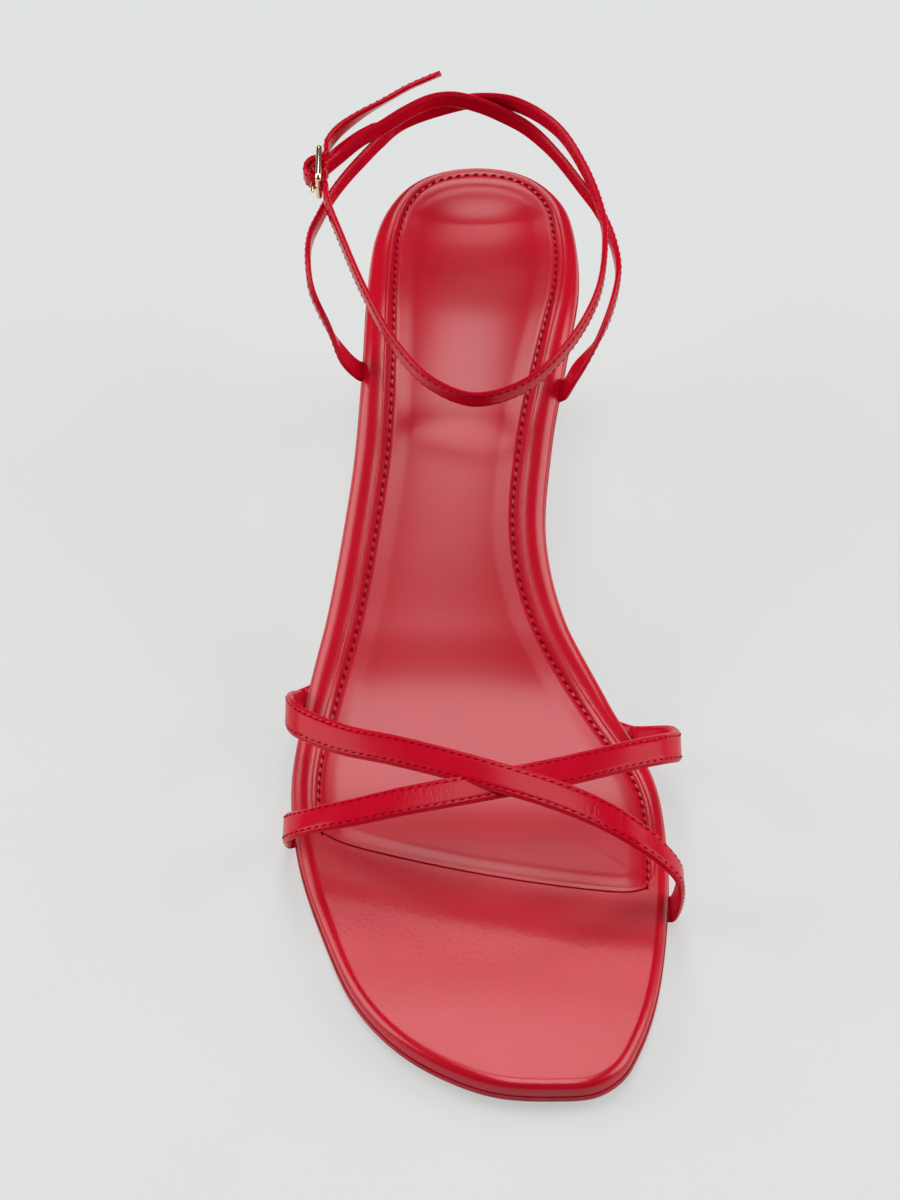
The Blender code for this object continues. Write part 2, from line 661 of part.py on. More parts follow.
def combine(piece, other, operation, own_crossings=False):
    """Boolean of two meshes; the second becomes a hidden guide, which may cross itself where it is bent."""
    other.hide_render = True
    other.display_type = "WIRE"
    modifier = piece.modifiers.new(other.name, "BOOLEAN")
    modifier.operation = operation
    modifier.solver = "EXACT"
    modifier.use_self = own_crossings
    modifier.object = other


def make_material(name, colour, roughness, metallic):
    material = bpy.data.materials.new(name)
    material.use_nodes = True
    shader = material.node_tree.nodes["Principled BSDF"]
    shader.inputs["Base Color"].default_value = (*colour, 1.0)
    shader.inputs["Roughness"].default_value = roughness
    shader.inputs["Metallic"].default_value = metallic
    return material


def make_outsole(last, material, parts):
    top = -FOOTBED_THICK - GAP
    under = top - OUTSOLE_THICK
    layers = [
        (OUTSOLE_BEVEL * 2, FACE_SHARE, under),
        (OUTSOLE_BEVEL * 2, 0.0, under),
        (OUTSOLE_BEVEL, 0.0, under),
        (OUTSOLE_BEVEL * 0.3, 0.0, under + OUTSOLE_THICK * 0.3),
        (0.0, 0.0, under + OUTSOLE_THICK * 0.6),
        (0.0, 0.0, top - OUTSOLE_TOP_ROUND),
        (OUTSOLE_TOP_ROUND, 0.0, top),
        (OUTSOLE_BEVEL * 2, FACE_SHARE, top),
    ]
    return plate("outsole", last, layers, last.ring, material, parts)


def make_footbed(last, material, parts):
    under = -FOOTBED_THICK
    layers = [
        (FOOTBED_ROUND_WIDE, FACE_SHARE, under),
        (FOOTBED_ROUND_WIDE, 0.0, under),
        (OUTSOLE_LIP + FOOTBED_FOLD, 0.0, under),
        (OUTSOLE_LIP, 0.0, under + FOOTBED_FOLD),
    ]
    layers += round_edge(OUTSOLE_LIP, FOOTBED_ROUND_WIDE - OUTSOLE_LIP, 0.0, FOOTBED_ROUND_DEEP, 4)
    layers += [(FOOTBED_ROUND_WIDE, FACE_SHARE, 0.0)]
    return plate("footbed", last, layers, last.ring, material, parts)


def sock_ring(last):
    """Outline of the sock: inset, and cut by its slanting front edge with soft corners."""
    def ring_of(inset):
        x, s = last.ring()
        medial = ease((x + SOCK_SPREAD_SIDE) / (2 * SOCK_SPREAD_SIDE))
        forward = ease((SOCK_SPREAD_FROM - s) / SOCK_SPREAD_OVER)
        x, s = last.ring(inset + SOCK_INSET - SOCK_SPREAD * medial * forward)
        share = 0.5 + x / BALL_WIDTH
        front = SOCK_FRONT_LATERAL + share * (SOCK_FRONT_MEDIAL - SOCK_FRONT_LATERAL) + inset
        front -= SOCK_FRONT_BOW * 4 * share * (1 - share)
        soft = np.logaddexp(0, (s - front) / SOCK_CORNER) * SOCK_CORNER
        return x, front + soft
    return ring_of


def make_sock(last, material, parts):
    top = GAP + SOCK_THICK
    layers = [(SOCK_THICK, FACE_SHARE, GAP), (0.0, 0.0, GAP), (0.0, 0.0, GAP + SOCK_THICK / 2)]
    layers += [(SOCK_THICK / 2, 0.0, top), (SOCK_THICK, FACE_SHARE, top)]
    return plate("sock", last, layers, sock_ring(last), material, parts, first=0.42)


def heel_section(last):
    """Seat outline of the heel in last coordinates: round the back, then across the breast."""
    x, s = last.ring(HEEL_INSET)
    front = FOOTBED_LENGTH - HEEL_BREAST
    keep = [i for i in range(2 * STATIONS) if s[i] > front]
    x, s = x[keep], s[keep]
    across = np.linspace(x[-1], x[0], 8)[1:-1]
    return np.concatenate([x, across]), np.concatenate([s, np.full(len(across), front)])


def make_heel(last, material, parts):
    x, s = heel_section(last)
    seat_height = -FOOTBED_THICK - GAP - OUTSOLE_THICK - GAP
    middle_x, middle_s = (x.max() + x.min()) / 2, FOOTBED_LENGTH - HEEL_BREAST / 2
    top = last.point(x, s, seat_height)
    scale_x = HEEL_TIP_WIDTH / (x.max() - x.min())
    back, front = top[:, 1].max(), top[:, 1].min()
    scale_y = HEEL_TIP_LENGTH / (back - front)
    tip_back = last.y[-1] - HEEL_TIP_SETBACK
    bottom = top.copy()
    bottom[:, 0] = middle_x + (top[:, 0] - middle_x) * scale_x
    bottom[:, 1] = tip_back + (top[:, 1] - back) * scale_y
    bottom[:, 2] = HEEL_TIP_THICK + GAP
    rings = []
    for share in HEEL_SEAT_SHARES:
        seat_x, seat_s = middle_x + (x - middle_x) * share, middle_s + (s - middle_s) * share
        rings.append(last.point(seat_x, seat_s, seat_height))
    for drop, narrowing, shortening in HEEL_ROWS:
        ring = top.copy()
        ring[:, 0] += (bottom[:, 0] - top[:, 0]) * narrowing
        ring[:, 1] += (bottom[:, 1] - top[:, 1]) * shortening
        ring[:, 2] += (bottom[:, 2] - top[:, 2]) * drop
        rings.append(ring)
    heel = mesh_object("heel", *loft(rings), material, parts)
    return heel, bottom


def make_heel_tip(section, material, parts):
    upper, lower = section.copy(), section.copy()
    upper[:, 2] = HEEL_TIP_THICK
    lower[:, 2] = 0.0
    return mesh_object("heel_tip", *loft([upper, lower]), material, parts)


def forefoot_route(last, rows, ends):
    points = tuck_points(last, *ends[0], -1, FORE_STRAP_THICK)
    for across, station, rise in rows:
        points.append(last.point(across * BALL_WIDTH / 2, station * FOOTBED_LENGTH, rise * FORE_STRAP_RISE))
    return points + tuck_points(last, *ends[1], 1, FORE_STRAP_THICK)[::-1]


def make_forefoot_straps(last, material, parts, guides):
    look = along_sole(last, FORE_STRAP_LEAN)
    straps, slots = [], []
    for name, rows, ends in (
        ("forefoot_straps", STRAP_OVER_ROWS, STRAP_OVER_ENDS),
        ("strap_under", STRAP_UNDER_ROWS, STRAP_UNDER_ENDS),
    ):
        route = forefoot_route(last, rows, ends)
        home = parts if name == "forefoot_straps" else guides
        shape = (look, FORE_STRAP_WIDTH, FORE_STRAP_THICK)
        for end, way in (("lateral", route), ("medial", route[::-1])):
            slots.append(band(name + "_" + end + "_slot", way, *shape, None, guides, SLOT_ROOM))
        straps.append(band(name, route, *shape, material, home))
    combine(straps[0], straps[1], "UNION")
    return straps[0], slots


def make_ankle_straps(last, buckle, material, parts, guides):
    shape = (round_ankle(last, buckle), ANKLE_STRAP_WIDTH, ANKLE_STRAP_THICK)
    lateral = tuck_points(last, *ANKLE_ENDS[0], -1, ANKLE_STRAP_THICK)
    lateral += [ankle_point(last, *row) for row in LATERAL_RISE_ROWS]
    lateral += buckle.threaded()
    lateral += [ankle_point(last, *row) for row in TAIL_ROWS]
    medial = tuck_points(last, *ANKLE_ENDS[1], 1, ANKLE_STRAP_THICK)
    medial += [ankle_point(last, *row) for row in MEDIAL_RISE_ROWS]
    medial += buckle.reached()
    fold = buckle.folded()
    for row in FOLD_ROWS:
        middle = ankle_point(last, 0.0, 0.5, row[2])
        place = ankle_point(last, *row)
        fold.append(place + (place - middle) / np.linalg.norm(place - middle) * FOLD_STEP)
    free = (round_ankle(last, buckle, tail=TAIL_LENGTH), *shape[1:])
    straps = band("ankle_straps", lateral, *free, material, parts, tip=True)
    strand = band("ankle_medial_strand", medial, *shape, material, guides)
    skived = (round_ankle(last, buckle, -1), ANKLE_STRAP_WIDTH - SKIVE, ANKLE_STRAP_THICK - SKIVE)
    end = band("ankle_folded_end", fold, *skived, material, guides, tip=True)
    slots = [
        band("ankle_lateral_slot", lateral, *shape, None, guides, SLOT_ROOM),
        band("ankle_medial_slot", medial, *shape, None, guides, SLOT_ROOM),
    ]
    combine(straps, strand, "UNION")
    combine(straps, end, "UNION")
    return straps, slots


def make_buckle(buckle, material, parts, guides):
    """Rounded rectangular ring with a centre bar, and a prong hooked on the bar."""
    end, high, r = buckle.side, buckle.half_height, BUCKLE_CORNER
    corners = []
    for sign_a, sign_u, start in ((1, 1, 0), (-1, 1, 90), (-1, -1, 180), (1, -1, 270)):
        for degrees in (0, 30, 60, 90):
            turn = math.radians(start + degrees)
            along = sign_a * (end - r) + r * math.cos(turn)
            corners.append(buckle.at(along, 0.0, sign_u * (high - r) + r * math.sin(turn)))
    frame = wire("buckle_frame", corners, BUCKLE_WIRE, True, material, parts)
    bar = [buckle.at(0, 0, -high), buckle.at(0, 0, high)]
    combine(frame, wire("buckle_bar", bar, BUCKLE_BAR, False, material, guides), "UNION")
    hook = BUCKLE_BAR / 2 + GAP + PRONG_WIRE / 2
    route = []
    for degrees in range(-120, 111, 23):
        turn = math.radians(degrees)
        route.append(buckle.at(hook * math.cos(turn), hook * math.sin(turn)))
    rest = BUCKLE_WIRE / 2 + GAP + PRONG_WIRE / 2
    route += [buckle.at(-(hook + end) / 2, (hook + rest) / 2 + PRONG_BOW)]
    route += [buckle.at(-end, rest), buckle.at(-end - PRONG_OVER, rest)]
    prong = wire("buckle_prong", route, PRONG_WIRE, False, material, parts)
    beyond = [2 * route[0] - route[1]]
    room = wire("prong_hole", beyond + route, PRONG_WIRE + 2 * GAP, False, None, guides)
    return frame, prong, room


def link(collection_name):
    collection = bpy.data.collections.new(collection_name)
    bpy.context.scene.collection.children.link(collection)
    return collection


def stand_on_origin(parts, guides):
    """Hangs everything on one empty and moves it so that the origin is under the middle of the shoe."""
    holder = bpy.data.objects.new("sandal_origin", None)
    parts.objects.link(holder)
    depsgraph = bpy.context.evaluated_depsgraph_get()
    corners = []
    for piece in list(parts.objects) + list(guides.objects):
        if piece.type == "MESH" and not piece.hide_render:
            mesh = piece.evaluated_get(depsgraph).data
            corners += [tuple(v.co) for v in mesh.vertices]
        if piece is not holder:
            piece.parent = holder
    low, high = np.min(corners, axis=0), np.max(corners, axis=0)
    holder.location = (-(low[0] + high[0]) / 2, -(low[1] + high[1]) / 2, -low[2])


clear_scene()
parts, guides = link("strappy_heeled_sandal"), link("guides")
leather, lining = make_material(*LEATHER), make_material(*LINING)
last = Last()
buckle = BuckleFrame(last)
outsole = make_outsole(last, make_material(*SOLE_EDGE), parts)
footbed = make_footbed(last, leather, parts)
sock = make_sock(last, lining, parts)
heel, tip_section = make_heel(last, leather, parts)
heel_tip = make_heel_tip(tip_section, make_material(*TIP_RUBBER), parts)
forefoot_straps, forefoot_slots = make_forefoot_straps(last, leather, parts, guides)
ankle_straps, ankle_slots = make_ankle_straps(last, buckle, leather, parts, guides)
for slot in forefoot_slots + ankle_slots:
    combine(footbed, slot, "DIFFERENCE", own_crossings=True)
buckle_frame, buckle_prong, prong_room = make_buckle(buckle, make_material(*GOLD), parts, guides)
combine(ankle_straps, prong_room, "DIFFERENCE")
stand_on_origin(parts, guides)
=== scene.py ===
"""Strappy heeled sandal, right shoe, in cherry-red leather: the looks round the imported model.

The sections follow the shoe as it is put together: last and outsole, heel, top piece, footbed, sock,
stitching, forefoot straps, ankle straps, buckle, and then the floor, the light and the camera.
"""
import math

import bmesh
import bpy
import numpy as np
from mathutils import Matrix, Vector


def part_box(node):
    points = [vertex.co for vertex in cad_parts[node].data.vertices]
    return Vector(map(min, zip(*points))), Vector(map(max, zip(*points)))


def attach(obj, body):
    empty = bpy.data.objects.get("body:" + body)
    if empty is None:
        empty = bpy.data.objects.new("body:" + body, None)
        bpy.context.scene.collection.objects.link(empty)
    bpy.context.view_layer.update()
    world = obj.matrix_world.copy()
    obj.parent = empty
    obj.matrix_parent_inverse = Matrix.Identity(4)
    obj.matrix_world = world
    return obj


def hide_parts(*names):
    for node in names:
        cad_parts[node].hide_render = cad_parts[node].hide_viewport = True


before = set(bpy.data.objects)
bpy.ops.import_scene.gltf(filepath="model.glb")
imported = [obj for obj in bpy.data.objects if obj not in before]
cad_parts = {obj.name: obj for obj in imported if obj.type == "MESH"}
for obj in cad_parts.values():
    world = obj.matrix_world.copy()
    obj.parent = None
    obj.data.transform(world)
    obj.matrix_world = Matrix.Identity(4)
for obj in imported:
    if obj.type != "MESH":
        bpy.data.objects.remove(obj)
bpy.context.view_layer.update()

# Outsole: thin sole leather cut to the outline of the last, with a painted and rubbed edge. It is glued
# under the whole footbed, shows as a fine lip all round, and is pressed flat on the floor under the ball.
# Foot and heel seat have dished the whole sole a little.
FOOTBED_LENGTH = 0.2444
BALL_WIDTH = 0.084
HEEL_RISE = 0.062
TOE_SPRING = 0.0033
FOOTBED_THICK = 0.0042
SEAM_GAP = 0.0003
OUTSOLE_THICK = 0.0018
OUTSOLE_BEVEL = 0.0020
OUTSOLE_LIP = 0.0008
BALL_PRESS = 0.0006
TOE_TIP = 0.180
HEEL_BACK = 0.010
OUTLINE_ROWS = [
    # station as a share of the length, lateral and medial edge as shares of the ball width
    (0.004, 0.040, 0.290),
    (0.022, -0.085, 0.360),
    (0.053, -0.208, 0.408),
    (0.101, -0.316, 0.454),
    (0.172, -0.401, 0.491),
    (0.260, -0.477, 0.510),
    (0.340, -0.503, 0.486),
    (0.417, -0.469, 0.366),
    (0.498, -0.413, 0.245),
    (0.574, -0.373, 0.197),
    (0.660, -0.338, 0.214),
    (0.751, -0.320, 0.258),
    (0.841, -0.310, 0.299),
    (0.905, -0.292, 0.295),
    (0.946, -0.254, 0.268),
    (0.976, -0.193, 0.206),
    (0.993, -0.110, 0.128),
]
SIDE_ROWS = [
    # station, lift as a share of the heel rise, spring as a share of the toe spring
    (0.000, 0.000, 1.00),
    (0.050, 0.000, 0.66),
    (0.100, 0.000, 0.36),
    (0.170, 0.000, 0.10),
    (0.240, 0.000, 0.00),
    (0.328, 0.024, 0.00),
    (0.407, 0.120, 0.00),
    (0.487, 0.283, 0.00),
    (0.566, 0.452, 0.00),
    (0.646, 0.622, 0.00),
    (0.725, 0.787, 0.00),
    (0.795, 0.881, 0.00),
    (0.874, 0.939, 0.00),
    (1.000, 1.000, 0.00),
]
DISH_ROWS = [
    # station, depth of the dish in metres
    (0.20, 0.0000),
    (0.32, 0.0003),
    (0.42, 0.0009),
    (0.55, 0.0013),
    (0.66, 0.0015),
    (0.80, 0.0025),
    (0.92, 0.0026),
    (1.00, 0.0018),
]
DISH_MARGIN = 0.0055
DISH_HEEL_RUN = 0.014
UNDER_INWARD = 0.55
LAST_SAMPLES = 1600
EDGE_STATIONS = 240


def smooth(x, xs, ys, steady=True):
    """Cubic curve through a table; steady keeps it from swinging past rows that stay level."""
    xs, ys = np.asarray(xs, float), np.asarray(ys, float)
    chord = np.diff(ys) / np.diff(xs)
    step = np.diff(xs)
    slope = np.empty(len(xs))
    slope[1:-1] = (chord[:-1] * step[1:] + chord[1:] * step[:-1]) / (step[1:] + step[:-1])
    slope[0], slope[-1] = chord[0], chord[-1]
    if steady:
        slope[1:-1][chord[:-1] * chord[1:] <= 0] = 0.0
    x = np.clip(x, xs[0], xs[-1])
    i = np.clip(np.searchsorted(xs, x) - 1, 0, len(xs) - 2)
    t = (x - xs[i]) / step[i]
    return (
        (1 + 2 * t) * (1 - t) ** 2 * ys[i] + t * (1 - t) ** 2 * step[i] * slope[i]
        + t * t * (3 - 2 * t) * ys[i + 1] - t * t * (1 - t) * step[i] * slope[i + 1]
    )


def smooth_curve(points, count):
    """Closely spaced points on a smooth curve through the given ones."""
    points = np.asarray(points, float)
    along = np.concatenate([[0], np.cumsum(np.linalg.norm(np.diff(points, axis=0), axis=1) ** 0.5)])
    fine = np.linspace(0, along[-1], count)
    return np.stack([smooth(fine, along, column, steady=False) for column in points.T], axis=1)


def ease(share):
    """Soft step from 0 to 1."""
    share = np.clip(share, 0, 1)
    return share * share * (3 - 2 * share)


class Last:
    """Side line and outline of the last: x across, s along it from the toe, h over the footbed's top."""

    def __init__(self):
        self.s = np.linspace(0, FOOTBED_LENGTH, LAST_SAMPLES)
        share = self.s / FOOTBED_LENGTH
        stations, lifts, springs = zip(*SIDE_ROWS)
        lift = HEEL_RISE * smooth(share, stations, lifts) + TOE_SPRING * smooth(share, stations, springs)
        rise = np.gradient(lift, self.s)
        run = np.sqrt(1 - rise ** 2)
        y = np.concatenate([[0], np.cumsum((run[1:] + run[:-1]) / 2 * np.diff(self.s))])
        self.y = y - y[-1]
        self.z = lift + FOOTBED_THICK + SEAM_GAP + OUTSOLE_THICK - BALL_PRESS
        self.slope = np.arctan2(rise, run)
        self.seat = self.z[-1]
        rows = [(TOE_TIP * BALL_WIDTH, 0.0)]
        rows += [(medial * BALL_WIDTH, station * FOOTBED_LENGTH) for station, lateral, medial in OUTLINE_ROWS]
        rows += [(HEEL_BACK * BALL_WIDTH, FOOTBED_LENGTH)]
        rows += [(lateral * BALL_WIDTH, s * FOOTBED_LENGTH) for s, lateral, medial in reversed(OUTLINE_ROWS)]
        curve = smooth_curve(rows[-4:] + rows + rows[:5], LAST_SAMPLES * 4)
        tip = int(np.argmin(np.where(np.arange(len(curve)) < len(curve) // 2, curve[:, 1], 1.0)))
        back = int(np.argmax(curve[:, 1]))
        end = tip + int(np.argmin(np.linalg.norm(curve[back:] - curve[tip], axis=1))) + back - tip
        self.medial_side = curve[tip:back + 1]
        self.lateral_side = curve[back:end + 1][::-1]
        self.home = np.zeros(3)

    def edge(self, s, side):
        """Place across of the outline at s: side 1 is medial, -1 lateral."""
        line = self.medial_side if side > 0 else self.lateral_side
        return np.interp(s, line[:, 1], line[:, 0])

    def dish(self, x, s):
        """Depth of the dish at a place; it runs out at a margin inside the outline."""
        middle = (self.edge(s, 1) + self.edge(s, -1)) / 2
        half = np.maximum((self.edge(s, 1) - self.edge(s, -1)) / 2 - DISH_MARGIN, 0.001)
        stations, depths = zip(*DISH_ROWS)
        bowl = np.clip(1 - ((x - middle) / half) ** 2, 0, 1)
        depth = smooth(s / FOOTBED_LENGTH, stations, depths) * bowl
        return depth * ease((FOOTBED_LENGTH - DISH_MARGIN - s) / DISH_HEEL_RUN)

    def point(self, x, s, h):
        x, s, h = np.broadcast_arrays(np.asarray(x, float), s, h)
        h = h - self.dish(x, s)
        angle = np.interp(s, self.s, self.slope)
        y = np.interp(s, self.s, self.y) - h * np.sin(angle)
        z = np.interp(s, self.s, self.z) + h * np.cos(angle)
        return np.stack([x, y, z], axis=-1) + self.home

    def measure(self, point):
        """Station of a point, found square to the footbed, and its height over it."""
        y, z = point[1] - self.home[1], point[2] - self.home[2]
        s = np.interp(y, self.y, self.s)
        for _ in range(6):
            angle = np.interp(s, self.s, self.slope)
            out, up = y - np.interp(s, self.s, self.y), z - np.interp(s, self.s, self.z)
            s += out * math.cos(angle) + up * math.sin(angle)
        return s, up * math.cos(angle) - out * math.sin(angle)

    def ring(self, inset=0.0):
        """Closed outline: toe tip, medial side, heel back, lateral side; paired points share a station."""
        low, high = self.medial_side[0, 1], self.medial_side[-1, 1]
        turn = np.pi * np.arange(EDGE_STATIONS + 1) / EDGE_STATIONS
        s = low + (high - low) * (1 - np.cos(turn)) / 2
        x = np.concatenate([self.edge(s, 1), self.edge(s, -1)[-2:0:-1]])
        s = np.concatenate([s, s[-2:0:-1]])
        x[0], x[EDGE_STATIONS] = self.medial_side[0, 0], self.medial_side[-1, 0]
        return offset_ring(x, s, inset)

    def spine(self, first, final=0.80):
        """Middle line that the rings close on, clear of the ends."""
        x, s = self.ring()
        k = np.arange(EDGE_STATIONS + 1)
        middle = (x[k] + x[-k % (2 * EDGE_STATIONS)]) / 2
        k = np.clip(k, int(EDGE_STATIONS * first), int(EDGE_STATIONS * final))
        return middle[k], s[k]


def offset_ring(x, s, inset):
    """Moves a closed ring inward by inset."""
    dx, ds = np.roll(x, -1) - np.roll(x, 1), np.roll(s, -1) - np.roll(s, 1)
    size = np.hypot(dx, ds)
    return x - inset * ds / size, s + inset * dx / size


def mesh_piece(name, vertices, faces, material, sharp=50):
    """Welded, outward-facing mesh in the scene."""
    mesh = bpy.data.meshes.new(name)
    mesh.from_pydata([tuple(v) for v in vertices], [], [tuple(int(i) for i in face) for face in faces])
    bm = bmesh.new()
    bm.from_mesh(mesh)
    bmesh.ops.remove_doubles(bm, verts=bm.verts, dist=1e-6)
    bmesh.ops.recalc_face_normals(bm, faces=bm.faces)
    bm.to_mesh(mesh)
    bm.free()
    mesh.shade_smooth()
    mesh.set_sharp_from_angle(angle=math.radians(sharp))
    piece = bpy.data.objects.new(name, mesh)
    bpy.context.scene.collection.objects.link(piece)
    if material:
        mesh.materials.append(material)
    return piece


def loft(rings):
    """Vertices and faces of closed rings joined in order, with both end faces."""
    count = len(rings[0])
    vertices = np.concatenate(rings)
    faces = [list(range(count))[::-1], [(len(rings) - 1) * count + i for i in range(count)]]
    for r in range(len(rings) - 1):
        for i in range(count):
            j = (i + 1) % count
            faces.append((r * count + i, r * count + j, (r + 1) * count + j, (r + 1) * count + i))
    return vertices, faces


def plate(name, last, layers, ring_of, material, first=0.22, relief=None):
    """Closed plate on the last, from its under face to its top face.

    Layers hold inset, share of the way to the middle line, height, and how much of the relief they take.
    """
    spine_x, spine_s = last.spine(first)
    count = 2 * EDGE_STATIONS
    pair = np.array([i if i <= EDGE_STATIONS else count - i for i in range(count)])
    edge_x, edge_s = ring_of(0.0)
    rings = []
    for inset, inward, height, carved in layers:
        x, s = ring_of(inset)
        x = x + inward * (spine_x[pair] - x)
        s = s + inward * (spine_s[pair] - s)
        if carved:
            reach = np.min(np.hypot(x[:, None] - edge_x, s[:, None] - edge_s), axis=1)
            height = height + carved * relief(x, s, reach)
        points = last.point(x, s, height)
        points[:, 2] = np.maximum(points[:, 2], 0.0)
        rings.append(points)
    vertices, faces = loft(rings)
    faces = faces[2:]
    for start in (0, (len(rings) - 1) * count):
        for k in range(1, EDGE_STATIONS):
            i, j = k, k + 1
            a, b = (count - i) % count, (count - j) % count
            corners = (i, j, b, a) if j < EDGE_STATIONS else (i, j, a)
            faces.append(tuple(start + corner for corner in corners))
        faces.append((start, start + 1, start + count - 1))
    return mesh_piece(name, vertices, faces, material)


def node(tree, kind, **values):
    """Adds one shader node; names with a space stand for sockets, the others for settings."""
    made = tree.nodes.new(kind)
    for name, value in values.items():
        socket = name.replace("_", " ")
        if socket in made.inputs:
            made.inputs[socket].default_value = value
        else:
            setattr(made, name, value)
    return made


def between(tree, source, low, high, to_low, to_high):
    """Map Range from one span of a value to another, clamped; returns the output socket."""
    made = tree.nodes.new("ShaderNodeMapRange")
    tree.links.new(source, made.inputs["Value"])
    for socket, value in (("From Min", low), ("From Max", high), ("To Min", to_low), ("To Max", to_high)):
        made.inputs[socket].default_value = value
    return made.outputs["Result"]


def bare_material(name, roughness, metallic=0.0, specular=0.5):
    """New material with a Principled shader; returns it with its tree, shader and object coordinates."""
    material = bpy.data.materials.new(name)
    material.use_nodes = True
    tree = material.node_tree
    shader = tree.nodes["Principled BSDF"]
    shader.inputs["Roughness"].default_value = roughness
    shader.inputs["Metallic"].default_value = metallic
    shader.inputs["Specular IOR Level"].default_value = specular
    place = tree.nodes.new("ShaderNodeTexCoord").outputs["Object"]
    return material, tree, shader, place


def mottle(tree, place, shader, colour, deep, size):
    """Base colour that drifts between two reds in soft patches of the given size."""
    patches = node(tree, "ShaderNodeTexNoise", Scale=1 / size, Detail=1.0, Roughness=0.4)
    tree.links.new(place, patches.inputs["Vector"])
    ramp = tree.nodes.new("ShaderNodeValToRGB")
    ramp.color_ramp.elements[0].position = 0.32
    ramp.color_ramp.elements[0].color = (*deep, 1.0)
    ramp.color_ramp.elements[1].position = 0.68
    ramp.color_ramp.elements[1].color = (*colour, 1.0)
    tree.links.new(patches.outputs["Fac"], ramp.inputs["Fac"])
    tree.links.new(ramp.outputs["Color"], shader.inputs["Base Color"])
    return patches.outputs["Fac"]


def grain(tree, place, size, height, strength, below=None, stretch=(1, 1, 1)):
    """Pebbled leather grain as bump; below is a bump that it is laid on."""
    mapping = node(tree, "ShaderNodeMapping")
    mapping.inputs["Scale"].default_value = stretch
    tree.links.new(place, mapping.inputs["Vector"])
    cells = node(tree, "ShaderNodeTexVoronoi", feature="SMOOTH_F1", Scale=1 / size, Randomness=1.0)
    tree.links.new(mapping.outputs["Vector"], cells.inputs["Vector"])
    bump = node(tree, "ShaderNodeBump", Strength=strength, Distance=height)
    tree.links.new(cells.outputs["Distance"], bump.inputs["Height"])
    if below is not None:
        tree.links.new(below, bump.inputs["Normal"])
    return bump.outputs["Normal"]


def wrinkles(tree, place, size, height, strength, below=None, stretch=(1, 1, 1), mask=None):
    """Fine branching creases as bump; a mask says how strong they are at each place."""
    mapping = node(tree, "ShaderNodeMapping")
    mapping.inputs["Scale"].default_value = stretch
    tree.links.new(place, mapping.inputs["Vector"])
    veins = node(tree, "ShaderNodeTexNoise", noise_type="RIDGED_MULTIFRACTAL", Scale=1 / size, Detail=3.0,
                 Roughness=0.5, Distortion=0.6)
    tree.links.new(mapping.outputs["Vector"], veins.inputs["Vector"])
    bump = node(tree, "ShaderNodeBump", invert=True, Strength=strength, Distance=height)
    tree.links.new(veins.outputs["Fac"], bump.inputs["Height"])
    if mask is not None:
        tree.links.new(mask, bump.inputs["Strength"])
    if below is not None:
        tree.links.new(below, bump.inputs["Normal"])
    return bump.outputs["Normal"]


def painted_sole_leather():
    material, tree, shader, place = bare_material("painted_sole_leather", 0.34)
    mottle(tree, place, shader, (0.55, 0.008, 0.035), (0.42, 0.004, 0.020), 0.004)
    fibres = grain(tree, place, 0.0006, 0.00003, 0.5, stretch=(1, 1, 3))
    tree.links.new(fibres, shader.inputs["Normal"])
    return material


def outsole_layers():
    """Under face, rubbed bevel, upright edge with a small round, and top."""
    top = -FOOTBED_THICK - SEAM_GAP
    under = top - OUTSOLE_THICK
    inside = OUTSOLE_BEVEL * 2
    layers = [(inside, UNDER_INWARD, under, 0), (inside, 0.0, under, 0), (OUTSOLE_BEVEL, 0.0, under, 0)]
    for degrees in range(15, 91, 15):
        turn = math.radians(degrees)
        height = under + OUTSOLE_THICK * 0.6 * (1 - math.cos(turn))
        layers.append((OUTSOLE_BEVEL * (1 - math.sin(turn)), 0.0, height, 0))
    edge_round = OUTSOLE_THICK * 0.12
    for degrees in range(0, 91, 30):
        turn = math.radians(degrees)
        layers.append((edge_round * (1 - math.cos(turn)), 0.0, top - edge_round * (1 - math.sin(turn)), 0))
    return layers + [(inside, 0.0, top, 0), (inside, UNDER_INWARD, top, 0)]


last = Last()
outer_x, outer_s = last.ring()
lip = last.point(outer_x, outer_s, -FOOTBED_THICK - SEAM_GAP - OUTSOLE_THICK * 0.2)
outsole_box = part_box("outsole")
for axis in (0, 1):
    middle = (outsole_box[0][axis] + outsole_box[1][axis]) / 2
    last.home[axis] = middle - (lip[:, axis].min() + lip[:, axis].max()) / 2
outsole = plate("sole_edge", last, outsole_layers(), last.ring, painted_sole_leather())
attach(outsole, "root")
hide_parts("outsole")

# Heel: a slim moulded heel covered in the upper leather, nailed on under the seat. The cover is drawn
# down from a seat as wide as the sole to a small foot over the top piece.
HEEL_INSET = 0.0014
HEEL_BREAST = 0.0485
HEEL_TIP_THICK = 0.0045
HEEL_TIP_SETBACK = 0.0140
HEEL_TIP_LENGTH = 0.0118
HEEL_TIP_WIDTH = 0.0125
HEEL_ROWS = [
    # drop as a share of the height, narrowing and shortening as shares of the way to the tip
    (0.00, 0.00, 0.00),
    (0.05, 0.06, 0.06),
    (0.13, 0.26, 0.24),
    (0.24, 0.50, 0.46),
    (0.38, 0.70, 0.66),
    (0.58, 0.86, 0.84),
    (0.80, 0.96, 0.95),
    (1.00, 1.00, 1.00),
]
HEEL_STEPS = 60
HEEL_BREAST_STEPS = 40
HEEL_SEAT_SHARES = (0.04, 0.5)


